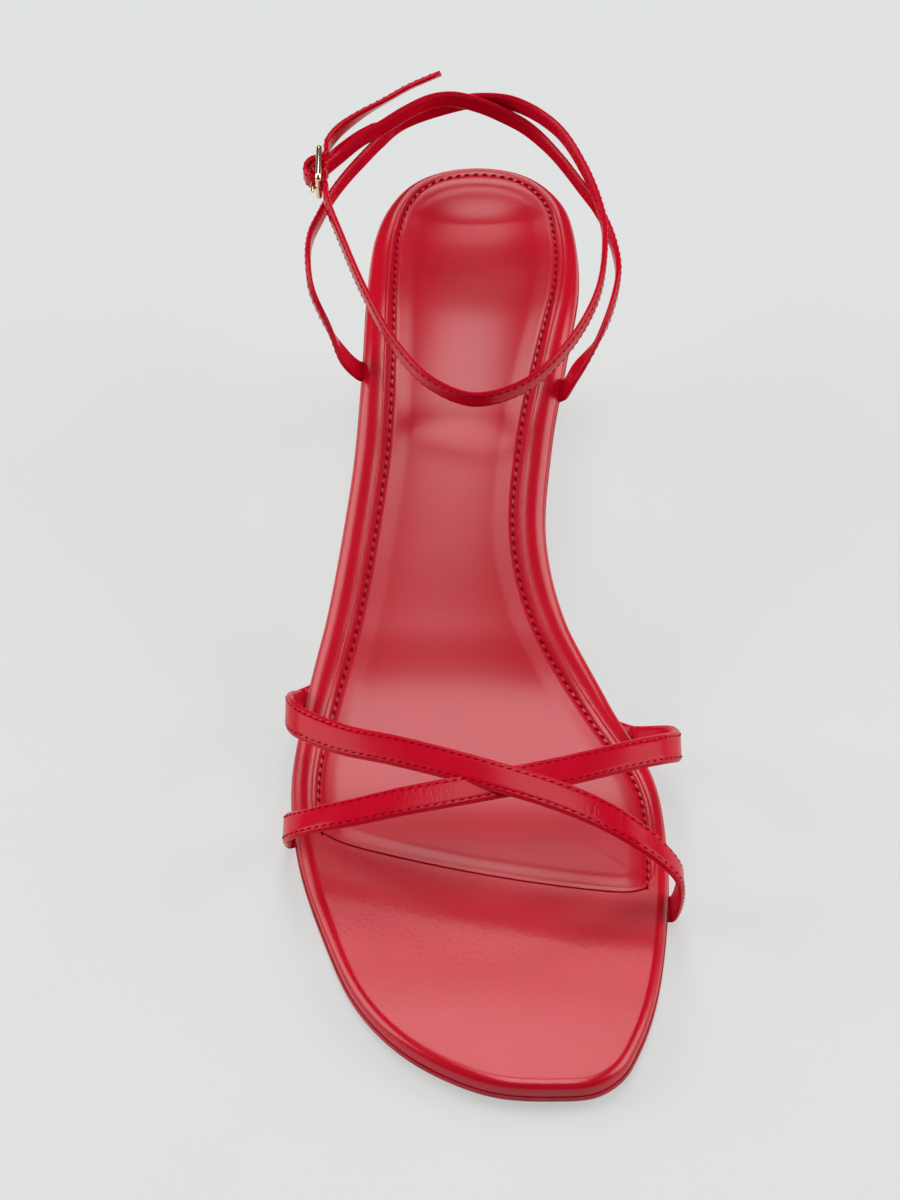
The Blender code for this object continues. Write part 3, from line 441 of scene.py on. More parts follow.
def cover_leather():
    """Smooth coated leather: soft patches of two reds, fine pebbled grain and a light polish."""
    material, tree, shader, place = bare_material("red_cover_leather", 0.24)
    patches = mottle(tree, place, shader, (0.60, 0.003, 0.022), (0.56, 0.002, 0.017), 0.012)
    tree.links.new(between(tree, patches, 0.3, 0.7, 0.20, 0.29), shader.inputs["Roughness"])
    pebbles = grain(tree, place, 0.00055, 0.00002, 0.35)
    tree.links.new(pebbles, shader.inputs["Normal"])
    return material


def heel_rings():
    """Rings from the seat down to the foot over the top piece, and the foot's own ring."""
    x, s = last.ring(HEEL_INSET)
    front = FOOTBED_LENGTH - HEEL_BREAST
    keep = s > front
    x, s = x[keep], s[keep]
    across = np.linspace(x[-1], x[0], HEEL_BREAST_STEPS)[1:-1]
    x, s = np.concatenate([x, across]), np.concatenate([s, np.full(len(across), front)])
    seat_height = -FOOTBED_THICK - SEAM_GAP - OUTSOLE_THICK - SEAM_GAP
    middle_x, middle_s = (x.max() + x.min()) / 2, FOOTBED_LENGTH - HEEL_BREAST / 2
    top = last.point(x, s, seat_height)
    foot = top.copy()
    axis_x = middle_x + last.home[0]
    foot[:, 0] = axis_x + (top[:, 0] - axis_x) * HEEL_TIP_WIDTH / (x.max() - x.min())
    back, breast = top[:, 1].max(), top[:, 1].min()
    tip_back = last.y[-1] + last.home[1] - HEEL_TIP_SETBACK
    foot[:, 1] = tip_back + (top[:, 1] - back) * HEEL_TIP_LENGTH / (back - breast)
    foot[:, 2] = HEEL_TIP_THICK + SEAM_GAP
    rings = []
    for share in HEEL_SEAT_SHARES:
        near_x, near_s = middle_x + (x - middle_x) * share, middle_s + (s - middle_s) * share
        rings.append(last.point(near_x, near_s, seat_height))
    drops, narrowings, shortenings = zip(*HEEL_ROWS)
    for drop in np.linspace(0, 1, HEEL_STEPS):
        ring = top.copy()
        ring[:, 0] += (foot[:, 0] - top[:, 0]) * smooth(drop, drops, narrowings)
        ring[:, 1] += (foot[:, 1] - top[:, 1]) * smooth(drop, drops, shortenings)
        ring[:, 2] += (foot[:, 2] - top[:, 2]) * drop
        rings.append(ring)
    return rings, foot


wrapped_rings, foot_ring = heel_rings()
heel_block = mesh_piece("heel_cover", *loft(wrapped_rings), cover_leather())
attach(heel_block, "root")
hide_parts("heel")

# Top piece: a hard rubber wear pad under the heel, pinned on and trimmed flush. Its walls are buffed to a
# dull dark red and its lower corner is a little worn.
TIP_WORN = 0.0004
TIP_INNER_SHARE = 0.45


def buffed_rubber():
    material, tree, shader, place = bare_material("buffed_top_piece", 0.62)
    mottle(tree, place, shader, (0.16, 0.006, 0.014), (0.10, 0.004, 0.009), 0.002)
    scuffs = grain(tree, place, 0.0004, 0.00004, 0.6, stretch=(1, 1, 4))
    tree.links.new(scuffs, shader.inputs["Normal"])
    return material


def top_piece_rings():
    """Ring inside the under face, then the worn lower corner, the wall and the upper corner."""
    centre = foot_ring.mean(axis=0)
    reach = np.linalg.norm((foot_ring - centre)[:, :2], axis=1, keepdims=True)
    rings = []
    for inward, height in (
        (TIP_INNER_SHARE, 0.0),
        (TIP_WORN / reach, 0.0),
        (TIP_WORN * 0.3 / reach, TIP_WORN * 0.3),
        (0.0, TIP_WORN),
        (0.0, HEEL_TIP_THICK - TIP_WORN / 2),
        (TIP_WORN / 2 / reach, HEEL_TIP_THICK),
    ):
        ring = foot_ring.copy()
        ring[:, :2] += (centre - ring)[:, :2] * inward
        ring[:, 2] = height
        rings.append(ring)
    return rings


top_piece = mesh_piece("heel_top_piece", *loft(top_piece_rings()), buffed_rubber())
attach(top_piece, "root")
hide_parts("heel_tip")

# Footbed: an insole board wrapped in the glossy upper leather, turned over its rounded edge and cemented
# under. The edge falls steeply round the toe and heel and slowly along the arch. The bare toe lies a
# little lower than the sock, and has fine creases where it begins to bend.
FOOTBED_ROUND_DEEP = 0.0027
FOOTBED_FOLD = 0.0002
FOOTBED_PRESSED = 0.0001
FOOTBED_RINGS = 90
RIM_INSET = 0.0003
SIDE_BLEND = 0.010
SOCK_FRONT_LATERAL = 0.0692
SOCK_FRONT_MEDIAL = 0.0504
SOCK_FRONT_BOW = 0.0030
TOE_DROP = 0.0007
TOE_DROP_LONG = 0.0150
FLEX_STATION = 0.043
EDGE_ROWS = [
    # station, width of the falling edge in from the outline in metres: lateral, medial
    (0.000, 0.0024, 0.0024),
    (0.120, 0.0026, 0.0026),
    (0.220, 0.0036, 0.0028),
    (0.300, 0.0041, 0.0027),
    (0.400, 0.0050, 0.0042),
    (0.500, 0.0056, 0.0054),
    (0.660, 0.0056, 0.0056),
    (0.780, 0.0050, 0.0046),
    (0.860, 0.0044, 0.0036),
    (0.930, 0.0036, 0.0032),
    (0.980, 0.0022, 0.0020),
    (1.000, 0.0016, 0.0016),
]
CREASE_ROWS = [
    # across and station in metres, half length, degrees from straight across, depth
    (-0.0300, 0.0560, 0.0040, 24, 0.000030),
    (-0.0245, 0.0545, 0.0035, 16, 0.000025),
    (-0.0180, 0.0505, 0.0045, 12, 0.000022),
    (-0.0105, 0.0490, 0.0030, 20, 0.000020),
    (-0.0040, 0.0455, 0.0045, 9, 0.000022),
    (0.0040, 0.0440, 0.0035, 16, 0.000020),
    (0.0095, 0.0415, 0.0045, 22, 0.000025),
    (0.0160, 0.0395, 0.0035, 10, 0.000022),
    (0.0215, 0.0380, 0.0045, 16, 0.000025),
    (0.0285, 0.0365, 0.0035, 6, 0.000025),
]
CREASE_WIDE = 0.0005
RIDGE_AHEAD = 0.0010


def edge_width(x, s):
    """Width of the falling edge at a place, from its station and its side."""
    stations, lateral, medial = zip(*EDGE_ROWS)
    share = s / FOOTBED_LENGTH
    side = ease((x - (last.edge(s, 1) + last.edge(s, -1)) / 2) / SIDE_BLEND + 0.5)
    return smooth(share, stations, lateral) * (1 - side) + smooth(share, stations, medial) * side


def sock_front(x):
    """Station of the sock's slanting front edge."""
    share = 0.5 + x / BALL_WIDTH
    line = SOCK_FRONT_LATERAL + share * (SOCK_FRONT_MEDIAL - SOCK_FRONT_LATERAL)
    return line - SOCK_FRONT_BOW * 4 * share * (1 - share)


def toe_relief(x, s, _reach):
    """Fall from the sock to the bare toe, and faint creases where it ends: troughs with a ridge beside."""
    ahead = sock_front(x) - s
    height = -TOE_DROP * ease(ahead / TOE_DROP_LONG)
    for across, station, half, degrees, depth in CREASE_ROWS:
        turn = math.radians(degrees)
        along = (x - across) * math.cos(turn) - (s - station) * math.sin(turn)
        aside = (x - across) * math.sin(turn) + (s - station) * math.cos(turn)
        aside = aside + 0.12 * np.sin(along / half * 2.2) * half
        fade = depth * ease(1.3 - np.abs(along) / half)
        height -= fade * np.exp(-(aside / CREASE_WIDE) ** 2)
        height += fade * 0.5 * np.exp(-((aside - RIDGE_AHEAD) / CREASE_WIDE) ** 2)
    return height


def toe_leather():
    """The wrap: polished, with fine wrinkles where the toe begins to bend."""
    material, tree, shader, place = bare_material("footbed_wrap_leather", 0.22)
    mottle(tree, place, shader, (0.63, 0.002, 0.022), (0.60, 0.001, 0.018), 0.010)
    parts = tree.nodes.new("ShaderNodeSeparateXYZ")
    tree.links.new(place, parts.inputs["Vector"])
    flex_line = last.point(0.0, FLEX_STATION, 0.0)[1]
    offset = node(tree, "ShaderNodeMath", operation="SUBTRACT")
    offset.inputs[1].default_value = flex_line
    tree.links.new(parts.outputs["Y"], offset.inputs[0])
    far = node(tree, "ShaderNodeMath", operation="ABSOLUTE")
    tree.links.new(offset.outputs[0], far.inputs[0])
    flexed = between(tree, far.outputs[0], 0.004, 0.030, 0.30, 0.07)
    creased = wrinkles(tree, place, 0.0012, 0.00006, 0.5, stretch=(1.6, 0.8, 1.0), mask=flexed)
    pebbles = grain(tree, place, 0.0006, 0.00003, 0.40, below=creased)
    tree.links.new(pebbles, shader.inputs["Normal"])
    return material


def footbed_layers():
    """Under face, turned fold, rounded falling edge, and top."""
    under = -FOOTBED_THICK - FOOTBED_PRESSED
    wide = edge_width(*last.ring()) - RIM_INSET
    inner = wide + RIM_INSET
    layers = [(inner, UNDER_INWARD, under, 0), (inner, 0.0, under, 0)]
    for degrees in range(0, 91, 30):
        turn = math.radians(degrees)
        inset = RIM_INSET + FOOTBED_FOLD * (1 - math.sin(turn))
        layers.append((inset, 0.0, under + FOOTBED_FOLD * (1 - math.cos(turn)), 0))
    for degrees in np.linspace(0, 90, 19):
        rise = math.sin(math.radians(degrees))
        inset = RIM_INSET + wide * (1 - math.cos(math.radians(degrees)))
        layers.append((inset, 0.0, -FOOTBED_ROUND_DEEP * (1 - rise), rise))
    for inward in np.linspace(0, 1, FOOTBED_RINGS)[1:-1]:
        layers.append((inner, inward, 0.0, 1))
    return layers


wrapped_footbed = plate("wrapped_footbed", last, footbed_layers(), last.ring, toe_leather(), 0.16, toe_relief)
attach(wrapped_footbed, "root")
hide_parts("footbed")

# Sock: softer, duller leather over thin foam, glued on the footbed from the heel to a slanting folded
# edge behind the toes. It is stitched near its sides, so that the foam swells inside the seam, and it is
# waved softly at the waist.
SOCK_THICK = 0.0006
SOCK_SUNK = 0.0001
SOCK_CORNER = 0.0055
SOCK_CORNER_STEPS = 2400
SOCK_EDGE_LOW = 0.15
SOCK_EDGE_HIGH = 0.70
SOCK_EDGE_ROUND = 0.0006
SOCK_EDGE_RUN = 0.0034
SOCK_UNDER_INSET = 0.0008
SOCK_UNDER_INWARD = 0.6
SOCK_FINE_BAND = 0.0060
SOCK_FINE_STEP = 0.0002
SOCK_RINGS = 40
SEAM_INSET = 0.0022
SEAM_DEEP = 0.00025
SEAM_WIDE = 0.00065
PAD_RISE = 0.0003
PAD_RUN = 0.0050
WAVE_STATION = 0.168
WAVE_LONG = 0.0035
WAVE_DEEP = 0.00022
WAVE_BOW = 0.004
WAVE_FADE = 0.006


def side_ring(inset=0.0):
    """Line in from the sock's side edge, carried on past its front."""
    x, s = last.ring()
    return last.ring(edge_width(x, s) + inset)


def sock_base():
    """Closed edge of the sock, on the same stations as the last's outline, with softened front corners."""
    x, s = side_ring()
    s = np.maximum(s, sock_front(x))
    closed_x, closed_s = np.append(x, x[0]), np.append(s, s[0])
    run = np.concatenate([[0], np.cumsum(np.hypot(np.diff(closed_x), np.diff(closed_s)))])
    even = np.linspace(0, run[-1], SOCK_CORNER_STEPS + 1)[:-1]
    step = even[1]
    reach = int(3 * SOCK_CORNER / step)
    shifts = range(-reach, reach + 1)
    weights = np.exp(-0.5 * (np.array(shifts) * step / SOCK_CORNER) ** 2)
    weights /= weights.sum()
    softened = []
    for column in (closed_x, closed_s):
        evened = np.interp(even, run, column)
        soft = sum(weight * np.roll(evened, shift) for weight, shift in zip(weights, shifts))
        softened.append(np.interp(run[:-1], even, soft, period=run[-1]))
    return softened


base_x, base_s = sock_base()
side_x, side_s = side_ring()


def sock_ring(inset):
    return offset_ring(base_x, base_s, inset)


def sock_relief(x, s, reach):
    """Seam groove along the sides, swelling foam inside it and a soft wave at the waist."""
    aside = np.min(np.hypot(x[:, None] - side_x, s[:, None] - side_s), axis=1)
    groove = SEAM_DEEP * np.exp(-((aside - SEAM_INSET) / SEAM_WIDE) ** 2)
    swell = PAD_RISE * ease((aside - SEAM_INSET) / PAD_RUN) * (0.3 + 0.7 * ease(reach / PAD_RUN))
    middle = (last.edge(s, 1) + last.edge(s, -1)) / 2
    half = (last.edge(s, 1) - last.edge(s, -1)) / 2 - edge_width(x, s) - SEAM_INSET
    bowed = s - WAVE_STATION + WAVE_BOW * ((x - middle) / half) ** 2
    wave = WAVE_DEEP * np.exp(-(bowed / WAVE_LONG) ** 2) * ease((half - np.abs(x - middle)) / WAVE_FADE)
    return swell - groove - wave


def sock_leather():
    material, tree, shader, place = bare_material("padded_sock_leather", 0.25)
    mottle(tree, place, shader, (0.60, 0.002, 0.022), (0.57, 0.001, 0.018), 0.020)
    tree.links.new(grain(tree, place, 0.0005, 0.00002, 0.25), shader.inputs["Normal"])
    return material


def sock_layers():
    """Under face just in the footbed, rounded thin edge, fine rings over the seam, and top."""
    layers = [(SOCK_UNDER_INSET, SOCK_UNDER_INWARD, -SOCK_SUNK, 0), (SOCK_UNDER_INSET, 0.0, -SOCK_SUNK, 0)]
    layers.append((0.0001, 0.0, -SOCK_SUNK, 0))
    for degrees in range(0, 91, 15):
        turn = math.radians(degrees)
        share = SOCK_EDGE_LOW + (SOCK_EDGE_HIGH - SOCK_EDGE_LOW) * math.sin(turn)
        layers.append((SOCK_EDGE_ROUND * (1 - math.cos(turn)), 0.0, SOCK_THICK * share, 0))
    for inset in np.arange(SOCK_EDGE_ROUND + SOCK_FINE_STEP, SOCK_FINE_BAND, SOCK_FINE_STEP):
        rise = ease((inset - SOCK_EDGE_ROUND) / SOCK_EDGE_RUN)
        share = SOCK_EDGE_HIGH + (1 - SOCK_EDGE_HIGH) * rise
        layers.append((inset, 0.0, SOCK_THICK * share, 1))
    for inward in np.linspace(0, 1, SOCK_RINGS)[1:-1]:
        layers.append((SOCK_FINE_BAND, inward, SOCK_THICK, 1))
    return layers


padded_sock = plate("padded_sock", last, sock_layers(), sock_ring, sock_leather(), 0.42, sock_relief)
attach(padded_sock, "root")
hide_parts("sock")

# Sock stitching: one row of bonded thread round the sides and back of the sock, sunk in its seam, each
# stitch a little slanted between two needle holes.
SOCK_PITCH = 0.0022
SOCK_STITCH = 0.0015
THREAD_THICK = 0.00045
STITCH_SLANT = math.radians(14)
STITCH_SIDES = 6
STITCH_RINGS = [
    # place along the stitch as a share of its length, thickness as a share, lift in thicknesses
    (-0.50, 0.25, -0.75),
    (-0.40, 0.80, -0.25),
    (-0.18, 1.00, 0.10),
    (0.18, 1.00, 0.10),
    (0.40, 0.80, -0.25),
    (0.50, 0.25, -0.75),
]
SEAM_STOP = 0.0008


def thread():
    material, tree, shader, place = bare_material("dark_red_thread", 0.6, specular=0.05)
    mottle(tree, place, shader, (0.30, 0.001, 0.010), (0.24, 0.001, 0.008), 0.0008)
    twist = grain(tree, place, 0.0003, 0.00005, 0.7, stretch=(1, 1, 2))
    tree.links.new(twist, shader.inputs["Normal"])
    return material


def stitches(name, places, headings, faces_up, length, thick, slant, material):
    """One mesh of many stitches: each is a short thread whose ends dive into the leather."""
    vertices, faces = [], []
    for place, heading, up in zip(places, headings, faces_up):
        side = np.cross(up, heading)
        side /= np.linalg.norm(side)
        along = heading * math.cos(slant) + side * math.sin(slant)
        across = np.cross(up, along)
        start = len(vertices)
        for share, size, lift in STITCH_RINGS:
            centre = place + along * share * length + up * lift * thick
            for k in range(STITCH_SIDES):
                turn = 2 * math.pi * k / STITCH_SIDES
                vertices.append(centre + (across * math.cos(turn) + up * math.sin(turn)) * size * thick / 2)
        for r in range(len(STITCH_RINGS) - 1):
            for k in range(STITCH_SIDES):
                j = (k + 1) % STITCH_SIDES
                low, high = start + r * STITCH_SIDES, start + (r + 1) * STITCH_SIDES
                faces.append((low + k, low + j, high + j, high + k))
        faces.append([start + k for k in range(STITCH_SIDES)][::-1])
        faces.append([start + (len(STITCH_RINGS) - 1) * STITCH_SIDES + k for k in range(STITCH_SIDES)])
    return mesh_piece(name, vertices, faces, material)


def even_along(line, pitch):
    """Places and headings at an even pitch along a line of points."""
    run = np.concatenate([[0], np.cumsum(np.linalg.norm(np.diff(line, axis=0), axis=1))])
    marks = np.arange(pitch / 2, run[-1], pitch)
    places = np.stack([np.interp(marks, run, column) for column in line.T], axis=1)
    ahead = np.stack([np.interp(marks + pitch / 4, run, column) for column in line.T], axis=1)
    behind = np.stack([np.interp(marks - pitch / 4, run, column) for column in line.T], axis=1)
    heading = ahead - behind
    return places, heading / np.linalg.norm(heading, axis=1, keepdims=True), marks


def sock_seam():
    x, s = side_ring(SEAM_INSET)
    seam = np.stack([x, s], axis=1)
    seam = seam[seam[:, 1] > sock_front(seam[:, 0]) + SEAM_STOP]
    places, heading = even_along(seam, SOCK_PITCH)[:2]
    x, s = places.T
    height = SOCK_THICK + sock_relief(x, s, np.full(len(x), SEAM_INSET)) + THREAD_THICK * 0.05
    here = last.point(x, s, height)
    ahead = last.point(x + heading[:, 0] * 1e-4, s + heading[:, 1] * 1e-4, height)
    up = last.point(x, s, height + 1e-4) - here
    heading = (ahead - here) / np.linalg.norm(ahead - here, axis=1, keepdims=True)
    return here, heading, up / np.linalg.norm(up, axis=1, keepdims=True)


red_thread = thread()
seam_stitches = stitches("sock_stitches", *sock_seam(), SOCK_STITCH, THREAD_THICK, STITCH_SLANT, red_thread)
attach(seam_stitches, "root")

# Forefoot straps: two narrow straps of folded leather, stitched near both edges, that cross over the
# forefoot. The one from the outside of the arch to the big toe lies on top. Their ends are lasted under
# the footbed.
FORE_STRAP_WIDTH = 0.0068
FORE_STRAP_THICK = 0.0016
FORE_STRAP_RISE = 0.031
FORE_STRAP_LEAN = math.radians(18)
FORE_LEAN_FROM = 0.55
FORE_STRAP_LAP = 0.0002
FORE_SEAM = 0.00105
FORE_BARE_ENDS = (0.016, 0.016)
FORE_THREAD = 0.00034
FORE_SLOT_REACH = 0.0165
FLEXED_REACH = 0.011
STRAP_PITCH = 0.0019
STRAP_STITCH = 0.0013
STITCH_SINK = 0.00008
SLOT_PLAY = 0.00008
TUCK_DEPTH = 0.011
TUCK_BEND = 0.0025
TUCK_CLEAR = 0.0002
STRAP_STEP = 0.0007
STRAP_TURN_STEP = math.radians(5)
STRAP_OVER_ROWS = [
    # across as a share of half the ball width, station, rise as a share of the strap rise
    (-1.005, 0.392, 0.37),
    (-0.950, 0.364, 0.60),
    (-0.720, 0.323, 0.79),
    (-0.400, 0.285, 0.92),
    (0.060, 0.244, 1.00),
    (0.415, 0.221, 0.97),
    (0.665, 0.203, 0.90),
    (0.870, 0.188, 0.76),
    (1.005, 0.182, 0.55),
    (1.040, 0.188, 0.30),
]
STRAP_OVER_ENDS = ((0.418, 0.48), (0.203, 0.32))
STRAP_UNDER_ROWS = [
    # across, station, rise
    (-0.995, 0.262, 0.22),
    (-0.985, 0.244, 0.42),
    (-0.925, 0.231, 0.58),
    (-0.800, 0.224, 0.71),
    (-0.640, 0.222, 0.795),
    (-0.400, 0.225, 0.885),
    (0.010, 0.236, 0.955),
    (0.420, 0.257, 0.93),
    (0.790, 0.292, 0.82),
    (0.965, 0.316, 0.70),
    (1.060, 0.341, 0.48),
    (1.025, 0.366, 0.20),
]
STRAP_UNDER_ENDS = ((0.288, 0.52), (0.382, 0.36))


def strap_line(points):
    """Stations of a strap: close together where it turns, further apart where it runs straight."""
    curve = smooth_curve(points, LAST_SAMPLES * 4)
    leg = np.diff(curve, axis=0)
    length = np.linalg.norm(leg, axis=1)
    leg = leg / length[:, None]
    turn = np.concatenate([[0], np.arccos(np.clip(np.sum(leg[1:] * leg[:-1], axis=1), -1, 1))])
    run = np.concatenate([[0], np.cumsum(length / STRAP_STEP + turn / STRAP_TURN_STEP)])
    even = np.linspace(0, run[-1], int(run[-1]) + 2)
    return np.stack([np.interp(even, run, column) for column in curve.T], axis=1)


def square_to(heading, across):
    """Width directions made square to the strap's heading."""
    across = across - heading * np.sum(across * heading, axis=1, keepdims=True)
    return across / np.linalg.norm(across, axis=1, keepdims=True)


def along_sole(line, heading, lean=0.0):
    """Width direction of a strap over the footbed: along it, leaning up on top as the instep does."""
    places = np.array([last.measure(p) for p in line])
    angle = np.interp(places[:, 0], last.s, last.slope)
    angle = angle + lean * ease((places[:, 1] / FORE_STRAP_RISE - FORE_LEAN_FROM) / (1 - FORE_LEAN_FROM))
    run = np.stack([np.zeros(len(line)), np.cos(angle), np.sin(angle)], axis=1)
    return square_to(heading, math.copysign(1, line[0, 0] - last.home[0]) * run)


def tuck_points(station, slant, side, thick):
    """Held end of a strap: between footbed and outsole, out past the wall, then up; innermost first."""
    flat = -FOOTBED_THICK + thick / 2 + TUCK_CLEAR
    s = station * FOOTBED_LENGTH
    wall = last.edge(s, side) - side * OUTSOLE_LIP
    rows = [(-TUCK_DEPTH, flat, -TUCK_DEPTH), (-TUCK_DEPTH / 2, flat, -TUCK_DEPTH / 2)]
    for degrees in (0, 20, 40, 60):
        turn = math.radians(degrees)
        out = TUCK_BEND * (math.sin(turn) - 0.2)
        rows.append((out, flat + TUCK_BEND * (1 - math.cos(turn)), TUCK_BEND * (turn - 0.2)))
    return [last.point(wall + side * out, s - slant * length, height) for out, height, length in rows]


def strap_section(width, thick, seam):
    """Cross-section of a folded strap: rounded edges, and a shallow valley under each row of stitches."""
    top = np.sin(np.linspace(1, -1, 35) * math.pi / 2)
    under = np.sin(np.linspace(-1, 1, 17) * math.pi / 2)[1:-1]
    across = top * width / 2
    height = thick / 2 * (1 - np.abs(top) ** 9) + 0.00006 * (1 - top ** 2)
    for row in (1, -1):
        height -= 0.00013 * np.exp(-((across - row * (width / 2 - seam)) / 0.00024) ** 2)
    lower = -thick / 2 * (1 - np.abs(under) ** 9)
    return list(zip(across, height)) + list(zip(under * width / 2, lower))


class Strap:
    """One strap: its line, its frame at each station and its mesh."""

    def __init__(self, points, across_of, width, thick, seam, tip=False):
        line = strap_line(points)
        narrow = np.ones(len(line))
        if tip:
            run = line[-1] - line[-2]
            run /= np.linalg.norm(run)
            turns = [math.radians(degrees) for degrees in (12, 24, 36, 48, 60, 70, 78, 84, 88)]
            line = np.vstack([line] + [line[-1] + run * math.sin(a) * width / 2 for a in turns])
            narrow = np.concatenate([narrow, [math.cos(a) for a in turns]])
        heading = np.gradient(line, axis=0)
        heading /= np.linalg.norm(heading, axis=1, keepdims=True)
        self.line, self.heading, self.narrow = line, heading, narrow
        self.across = across_of(line, heading)
        self.out = np.cross(self.across, heading)
        self.width, self.thick, self.seam = width, thick, seam

    def piece(self, name, material):
        rings = []
        section = strap_section(self.width, self.thick, self.seam)
        for p, across, out, narrow in zip(self.line, self.across, self.out, self.narrow):
            rings.append(np.array([p + across * a * narrow + out * b for a, b in section]))
        return mesh_piece(name, *loft(rings), material)

    def cutter(self, name, play, reach):
        """Plain block round the held end, for its slot in the footbed; it opens downward."""
        keep = np.flatnonzero(np.cumsum(np.r_[0, np.linalg.norm(np.diff(self.line, axis=0), axis=1)]) < reach)
        rings = []
        w, t = self.width / 2 + play, self.thick / 2 + play
        for i in keep[::2]:
            corners = ((w, t + 0.0016), (-w, t + 0.0016), (-w, -t), (w, -t))
            shift = -self.heading[i] * play if i == 0 else 0.0
            place = self.line[i] + shift
            rings.append(np.array([place + self.across[i] * a + self.out[i] * b for a, b in corners]))
        block = mesh_piece(name, *loft(rings), None)
        block.hide_render = True
        return block

    def row(self, side, pitch, skip, lift):
        """Places, headings and facing of one row of stitches; skip is left bare at both ends."""
        edge = self.line + self.across * side * (self.width / 2 - self.seam)
        edge = edge + self.out * (self.thick / 2 + lift)
        places, heading, marks = even_along(edge, pitch)
        run = np.concatenate([[0], np.cumsum(np.linalg.norm(np.diff(edge, axis=0), axis=1))])
        up = np.stack([np.interp(marks, run, column) for column in self.out.T], axis=1)
        keep = (marks > skip[0]) & (marks < run[-1] - skip[1])
        return places[keep], heading[keep], up[keep]


def strap_leather(name, patches_at=()):
    """Folded strap leather: glossy, lightly creased, with a few scratchy flexed patches at given places."""
    material, tree, shader, place = bare_material(name, 0.24, specular=0.16)
    mottle(tree, place, shader, (0.61, 0.002, 0.022), (0.58, 0.001, 0.017), 0.006)
    skin = grain(tree, place, 0.0005, 0.00003, 0.3)
    for spot, reach in patches_at:
        apart = node(tree, "ShaderNodeVectorMath", operation="DISTANCE")
        apart.inputs[1].default_value = spot
        tree.links.new(place, apart.inputs[0])
        flexed = between(tree, apart.outputs["Value"], reach * 0.3, reach, 0.6, 0.0)
        skin = wrinkles(tree, place, 0.0016, 0.00016, 0.5, below=skin, stretch=(1.8, 0.7, 1.0), mask=flexed)
    tree.links.new(skin, shader.inputs["Normal"])
    return material


def forefoot_route(rows, ends, lap):
    points = tuck_points(*ends[0], -1, FORE_STRAP_THICK)
    for across, station, rise in rows:
        lift = lap * ease((rise - 0.85) / 0.1)
        height = rise * FORE_STRAP_RISE + lift
        points.append(last.point(across * BALL_WIDTH / 2, station * FOOTBED_LENGTH, height))
    return points + tuck_points(*ends[1], 1, FORE_STRAP_THICK)[::-1]


def forefoot_look(line, heading):
    return along_sole(line, heading, FORE_STRAP_LEAN)


slot_cutters = []
fore_rows = []
fore_size = (FORE_STRAP_WIDTH, FORE_STRAP_THICK, FORE_SEAM)
for name, rows, ends, lap, spot in (
    ("strap_over", STRAP_OVER_ROWS, STRAP_OVER_ENDS, FORE_STRAP_LAP, (0.66, 0.203, 0.90)),
    ("strap_under", STRAP_UNDER_ROWS, STRAP_UNDER_ENDS, -FORE_STRAP_LAP, (-0.22, 0.230, 0.92)),
):
    route = forefoot_route(rows, ends, lap)
    strap = Strap(route, forefoot_look, *fore_size)
    flexed_at = last.point(spot[0] * BALL_WIDTH / 2, spot[1] * FOOTBED_LENGTH, spot[2] * FORE_STRAP_RISE)
    piece = strap.piece("forefoot_" + name, strap_leather(name + "_leather", ((flexed_at, FLEXED_REACH),)))
    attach(piece, "root")
    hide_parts("forefoot_straps")
    # The grained toe leather mirrors light but shows no picture of the straps.
    piece.visible_glossy = False
    fore_rows += [strap.row(side, STRAP_PITCH, FORE_BARE_ENDS, -STITCH_SINK) for side in (1, -1)]
    slot_cutters.append(strap.cutter(name + "_lateral_slot", SLOT_PLAY, FORE_SLOT_REACH))
    far_end = Strap(route[::-1], forefoot_look, *fore_size)
    slot_cutters.append(far_end.cutter(name + "_medial_slot", SLOT_PLAY, FORE_SLOT_REACH))
fore_seams = [np.concatenate(column) for column in zip(*fore_rows)]
fore_sizes = (STRAP_STITCH, FORE_THREAD, STITCH_SLANT)
fore_stitches = stitches("forefoot_stitches", *fore_seams, *fore_sizes, red_thread)
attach(fore_stitches, "root")

# Ankle straps: one narrow strap from each side of the seat. They cross behind the heel; the outer one
# comes round the front of the ankle and through the buckle, and the inner one is folded round the
# buckle's bar and stitched.
ANKLE_STRAP_WIDTH = 0.0053
ANKLE_STRAP_THICK = 0.0013
ANKLE_SEAM = 0.00085
ANKLE_WIDTH = 0.066
ANKLE_SHIFT = 0.003
ANKLE_LENGTH = 0.0845
ANKLE_BACK = 0.0056
ANKLE_RISE = 0.025
LOOP_FRONT_LIFT = 0.156
LATERAL_RISE_ROWS = [
    # across as a share of half the loop's width, forward of its length, lift of its rise above the seat
    (-0.85, 0.686, -0.26),
    (-0.97, 0.662, 0.10),
    (-1.06, 0.613, 0.32),
    (-1.09, 0.534, 0.46),
    (-1.080, 0.445, 0.480),
    (-1.016, 0.360, 0.500),
    (-0.935, 0.290, 0.560),
    (-0.835, 0.232, 0.630),
    (-0.720, 0.178, 0.700),
    (-0.58, 0.110, 0.760),
    (-0.43, 0.050, 0.81),
    (-0.09, 0.012, 0.91),
    (0.12, 0.000, 0.94),
    (0.38, 0.013, 0.93),
    (0.676, 0.103, 0.87),
    (0.876, 0.255, 0.76),
    (0.985, 0.410, 0.65),
    (1.00, 0.489, 0.588),
    (0.936, 0.666, 0.436),
    (0.72, 0.835, 0.296),
    (0.42, 0.956, 0.190),
    (0.073, 1.000, 0.156),
    (-0.227, 0.947, 0.200),
    (-0.476, 0.827, 0.300),
    (-0.68, 0.666, 0.436),
    (-0.86, 0.483, 0.592),
]
